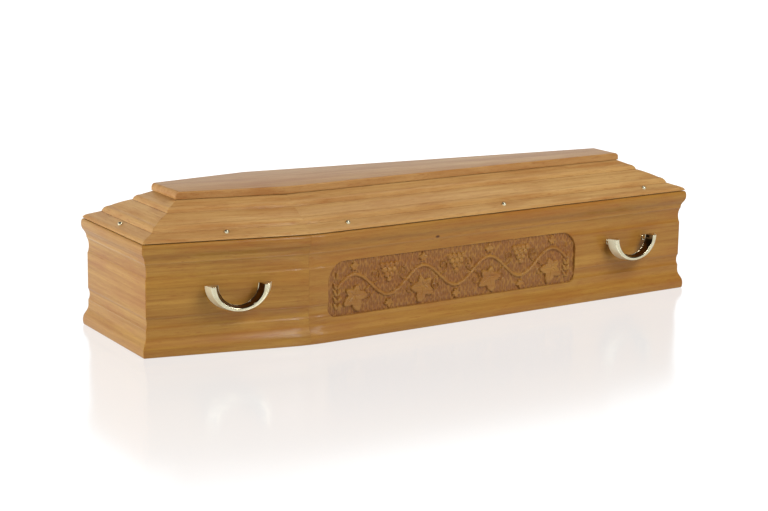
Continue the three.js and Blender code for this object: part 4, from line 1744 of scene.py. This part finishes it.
@dataclass
class Handles:
    """The four cast handles: a crescent bar on two posts."""

    plan: Plan
    from_head: float = 0.281
    from_foot: float = 0.255
    top: float = 0.208
    width: float = 0.205
    height: float = 0.080
    end_width: float = 0.041
    middle_width: float = 0.016
    depth: float = 0.0269
    inner_leans: Point = (0.004, 0.012)
    outer_leans: Point = (0.003, 0.014)
    ease: float = 0.0025
    bead: Point = (0.0036, 0.0014)
    finger_gap: float = 0.026
    post_radius: float = 0.0065
    post_drop: float = 0.016
    post_inset: float = 0.004
    post_root: float = 0.003
    flange_radius: float = 0.0095
    flange_thickness: float = 0.003
    flange_side: float = 0.4
    flange_edge: float = 0.55
    neck_share: float = 0.9
    neck_steps: int = 7
    wall_inset: float = 0.014
    end_ease: float = 0.0008
    cap_share: float = 0.3
    mark_reach: float = 1.3
    steps: int = 80
    corner_steps: int = 5
    sides: int = 32
    brass: BrassFinish = BrassFinish()

    def sized(self, middle: float, end: float, turn: float | Grid) -> float | Grid:
        """Give a size of the bar at a place along its half turn."""
        return middle + (end - middle) * np.cos(turn) ** 2

    def radii(self) -> Point:
        """Give the half width and the drop of the crescent's middle line."""
        return (self.width - self.end_width) / 2, self.height - self.middle_width / 2

    def section(self, turn: float, shrink: float) -> list[Point]:
        """Give the bar's section: both sides lean in to a narrower front, with round edges.

        Args:
            turn: Its place along the half turn.
            shrink: How far it is drawn in all round.

        Returns:
            Points as (outward, off the wall) pairs.
        """
        half = self.sized(self.middle_width, self.end_width, turn) / 2
        inner = self.sized(*self.inner_leans, turn)
        outer = self.sized(*self.outer_leans, turn)
        pairs = ((half, 0.0), (half - outer, self.depth), (inner - half, self.depth), (-half, 0.0))
        corners = [Vector(pair) for pair in pairs]
        spots = []
        for i, here in enumerate(corners[:3]):
            back, ahead = ((corners[j] - here).normalized() * self.ease for j in (i - 1, i + 1))
            spots += rounded(here, back, ahead, self.corner_steps)
        along = (corners[2] - corners[3]).normalized()
        across = Vector((-along.y, along.x))
        width, rise = self.bead
        for step in range(self.corner_steps + 2):
            share = step / (self.corner_steps + 1)
            out = rise * math.sin(math.pi * share)
            spots.append(corners[3] + along * width * (1 - share) + across * out)
        middle = Vector(((inner - outer) / 2, self.depth / 2))
        return [tuple(spot + (middle - spot).normalized() * shrink) for spot in spots]

    def ring(self, turn: float, shrink: float = 0.0, sink: float = 0.0) -> list[Triple]:
        """Give one ring of the crescent.

        Args:
            turn: Its place along the half turn.
            shrink: How far it is drawn in all round.
            sink: How far it is lowered.

        Returns:
            The points of the ring.
        """
        reach, drop = self.radii()
        outward = Vector((drop * math.cos(turn), -reach * math.sin(turn))).normalized()
        middle = Vector((reach * math.cos(turn), -drop * math.sin(turn) - sink))
        spots = [(middle + outward * across, off) for across, off in self.section(turn, shrink)]
        return [(spot.x, spot.y, self.finger_gap + off) for spot, off in spots]

    def casting(self, name: str, place: Matrix) -> bpy.types.Object:
        """Make one handle.

        Args:
            name: Its name.
            place: Where it stands.

        Returns:
            The handle.
        """
        ease = self.end_ease
        cap = [(ease, 0.0), (ease * self.cap_share, ease * self.cap_share), (0.0, ease)]
        rings = [self.ring(0.0, *sizes) for sizes in cap]
        rings += [self.ring(math.pi * step / self.steps) for step in range(1, self.steps)]
        rings += [self.ring(math.pi, *sizes) for sizes in reversed(cap)]
        piece = Shop.loose(name, mesh_of(name, *lofted(rings)), place)
        reach = self.radii()[0] - self.post_inset
        for end_side in (-1, 1):
            spot = Matrix.Translation((end_side * reach, -self.post_drop, 0.0))
            mesh = mesh_of("post", *lathed(self.post_profile(), self.sides))
            Shop.fused(piece, Shop.loose("post", mesh, place @ spot), Fusing.JOIN)
        self.shaded(piece.data)
        piece.data.transform(place)
        piece.matrix_world = Matrix.Identity(4)
        return piece

    def shaded(self, mesh: bpy.types.Mesh) -> None:
        """Mark the bar's inner side, where the brass gets a dark colour as painted shade, and its matt
        outer side.

        Args:
            mesh: The handle's mesh, in its own frame.
        """
        spots = np.empty(len(mesh.vertices) * 3)
        mesh.vertices.foreach_get("co", spots)
        x, y, off = spots.reshape(-1, 3).T
        reach, drop = self.radii()
        turn = np.arctan2(np.maximum(-y, 0) / drop, x / reach)
        out_x, out_y = drop * np.cos(turn), -reach * np.sin(turn)
        rise_x, rise_y = x - reach * np.cos(turn), y + drop * np.sin(turn)
        across = (rise_x * out_x + rise_y * out_y) / np.hypot(out_x, out_y)
        half = self.sized(self.middle_width, self.end_width, turn) / 2
        off_bar = off - self.finger_gap
        painted_shade_side = ("inner", self.inner_leans, 1, self.end_ease)
        outer_side = ("outer", self.outer_leans, -1, self.ease)
        for label, leans, sense, ease in (painted_shade_side, outer_side):
            lean = self.sized(*leans, turn)
            away = across + sense * (half - lean * off_bar / self.depth)
            away = np.abs(away) * self.depth / np.hypot(self.depth, lean)
            mark_points(mesh, label, np.clip(self.mark_reach - away / ease, 0, 1) * (off_bar > -TINY))

    def post_profile(self) -> list[Point]:
        """Give the profile of a post with its flange on the wall."""
        flange, thick = self.flange_radius, self.flange_thickness
        rim, edge = flange - self.end_ease, thick * self.flange_edge
        profile = [(flange, 0.0), (flange, thick * self.flange_side), (rim, edge)]
        for step in range(1, self.neck_steps + 1):
            angle = math.pi / 2 * step / self.neck_steps
            radius = rim - (rim - self.post_radius) * math.sin(angle)
            profile.append((radius, edge + thick * self.neck_share * (1 - math.cos(angle))))
        return profile + [(self.post_radius, self.finger_gap + self.post_root)]

    def build(self) -> None:
        """Make and dress the handles."""
        end = self.plan.length / 2
        for side in (*FRONT_SIDES, *BACK_SIDES[::-1]):
            at_head = side in (FRONT_SIDES[0], BACK_SIDES[0])
            x = self.from_head - end if at_head else end - self.from_foot
            name = f"handle_{side.label()}"
            place = self.plan.wall_frame(side, x, self.top, self.wall_inset)
            piece = self.casting(f"{name}_brass", place)
            Shop.finished(piece, self.brass.material(f"{name}_finish"), "handle_brass", name)


@dataclass(frozen=True)
class SoftLamp:
    """A large soft lamp aimed at a point."""

    name: str
    place: Triple
    aim: Triple
    size: Point
    watts: float
    mirrored: bool = True

    def hang(self) -> None:
        """Put the lamp into the scene."""
        light = bpy.data.lights.new(self.name, "AREA")
        light.shape = "RECTANGLE"
        light.size, light.size_y = self.size
        light.energy = self.watts
        lamp = bpy.data.objects.new(self.name, light)
        bpy.context.scene.collection.objects.link(lamp)
        lamp.visible_glossy = self.mirrored
        lamp.location = self.place
        way = Vector(self.aim) - Vector(self.place)
        lamp.rotation_euler = way.to_track_quat("-Z", "Y").to_euler()


@dataclass
class Studio:
    """Floor, light and camera."""

    camera_place: Triple = (-3.10302, -5.15764, 1.45103)
    yaw: float = 0.5336
    pitch: float = 0.21053
    roll: float = 0.01325
    focal_pixels: float = 1896.24
    floor_size: float = 60.0
    ambient: float = 1.0
    backdrop: Colour = (1.0, 1.0, 1.0)
    ceiling: Colour = (0.06, 0.06, 0.06)
    horizon_band: Point = (0.12, 0.24)
    backdrop_rise: float = 0.26
    lamps: tuple[SoftLamp, ...] = (
        SoftLamp("left_lamp", (-5.2, 0.1, 1.6), (-0.5, 0.0, 0.2), (2.6, 2.2), 225.0, mirrored=False),
        SoftLamp("front_lamp", (1.8, -3.4, 4.2), (0.4, 0.0, 0.2), (3.0, 2.0), 140.0, mirrored=False),
        SoftLamp("top_lamp", (1.5, 0.5, 3.6), (0.3, 0.0, 0.3), (2.4, 3.0), 30.0),
        SoftLamp("strip_lamp", (0.3, -3.9, 2.3), (-0.4, -0.3, 0.3), (0.5, 2.4), 50.0),
        SoftLamp("second_strip", (1.75, -3.8, 2.3), (0.0, -0.3, 0.3), (0.4, 2.4), 34.0),
        SoftLamp("glint_lamp", (-2.6, -2.4, 3.4), (-0.6, -0.2, 0.2), (0.5, 0.5), 8.0),
    )

    def camera(self) -> None:
        """Stand the camera where the photograph was taken from."""
        forward = Vector(
            (
                math.sin(self.yaw) * math.cos(self.pitch),
                math.cos(self.yaw) * math.cos(self.pitch),
                -math.sin(self.pitch),
            )
        )
        level = Vector((math.cos(self.yaw), -math.sin(self.yaw), 0.0))
        upright = level.cross(forward)
        right = level * math.cos(self.roll) + upright * math.sin(self.roll)
        up = upright * math.cos(self.roll) - level * math.sin(self.roll)
        lens = bpy.data.cameras.new("camera")
        lens.sensor_width = SENSOR_WIDTH
        lens.lens = self.focal_pixels / PHOTO_WIDTH * SENSOR_WIDTH
        camera = bpy.data.objects.new("camera", lens)
        bpy.context.scene.collection.objects.link(camera)
        turned = Matrix((right, up, -forward)).transposed().to_4x4()
        camera.matrix_world = Matrix.Translation(self.camera_place) @ turned
        bpy.context.scene.camera = camera

    def surroundings(self) -> None:
        """Light the studio's backdrop and the foot of its walls, and leave its ceiling dim."""
        bench = Bench(bpy.data.worlds.new("studio"))
        _, across, up = bench.parts(bench.spot("Generated"))
        low, high = self.horizon_band
        stops = {"stops": [(low, self.backdrop), (high, self.ceiling)]}
        level = up - across * self.backdrop_rise
        colour = bench.node("ShaderNodeValToRGB", stops, {"Fac": level})
        light = bench.node("ShaderNodeBackground", None, {"Color": colour, "Strength": self.ambient})
        bench.node("ShaderNodeOutputWorld", None, {0: light})
        bpy.context.scene.world = bench.owner
        bpy.context.scene.view_settings.view_transform = "Standard"

    def build(self) -> None:
        """Make floor, light and camera."""
        half = self.floor_size / 2
        corners = [(-half, -half, 0), (half, -half, 0), (half, half, 0), (-half, half, 0)]
        mesh = bpy.data.meshes.new("floor")
        mesh.from_pydata(corners, [], [(0, 1, 2, 3)])
        mesh.materials.append(FloorFinish().material())
        floor = Shop.loose("floor", mesh, Matrix.Identity(4))
        self.surroundings()
        for lamp in self.lamps:
            lamp.hang()
        self.camera()


def main() -> None:
    """Build the coffin's pieces in order, then the studio round it."""
    logging.basicConfig(level=logging.INFO, format="%(name)s: %(message)s")
    plan = Plan()
    screws = Screws(plan)
    Walls(plan).build()
    Lid(plan, screws).build()
    Handles(plan).build()
    screws.build()
    Studio().build()
    bpy.context.view_layer.update()


if __name__ == "__main__":
    main()
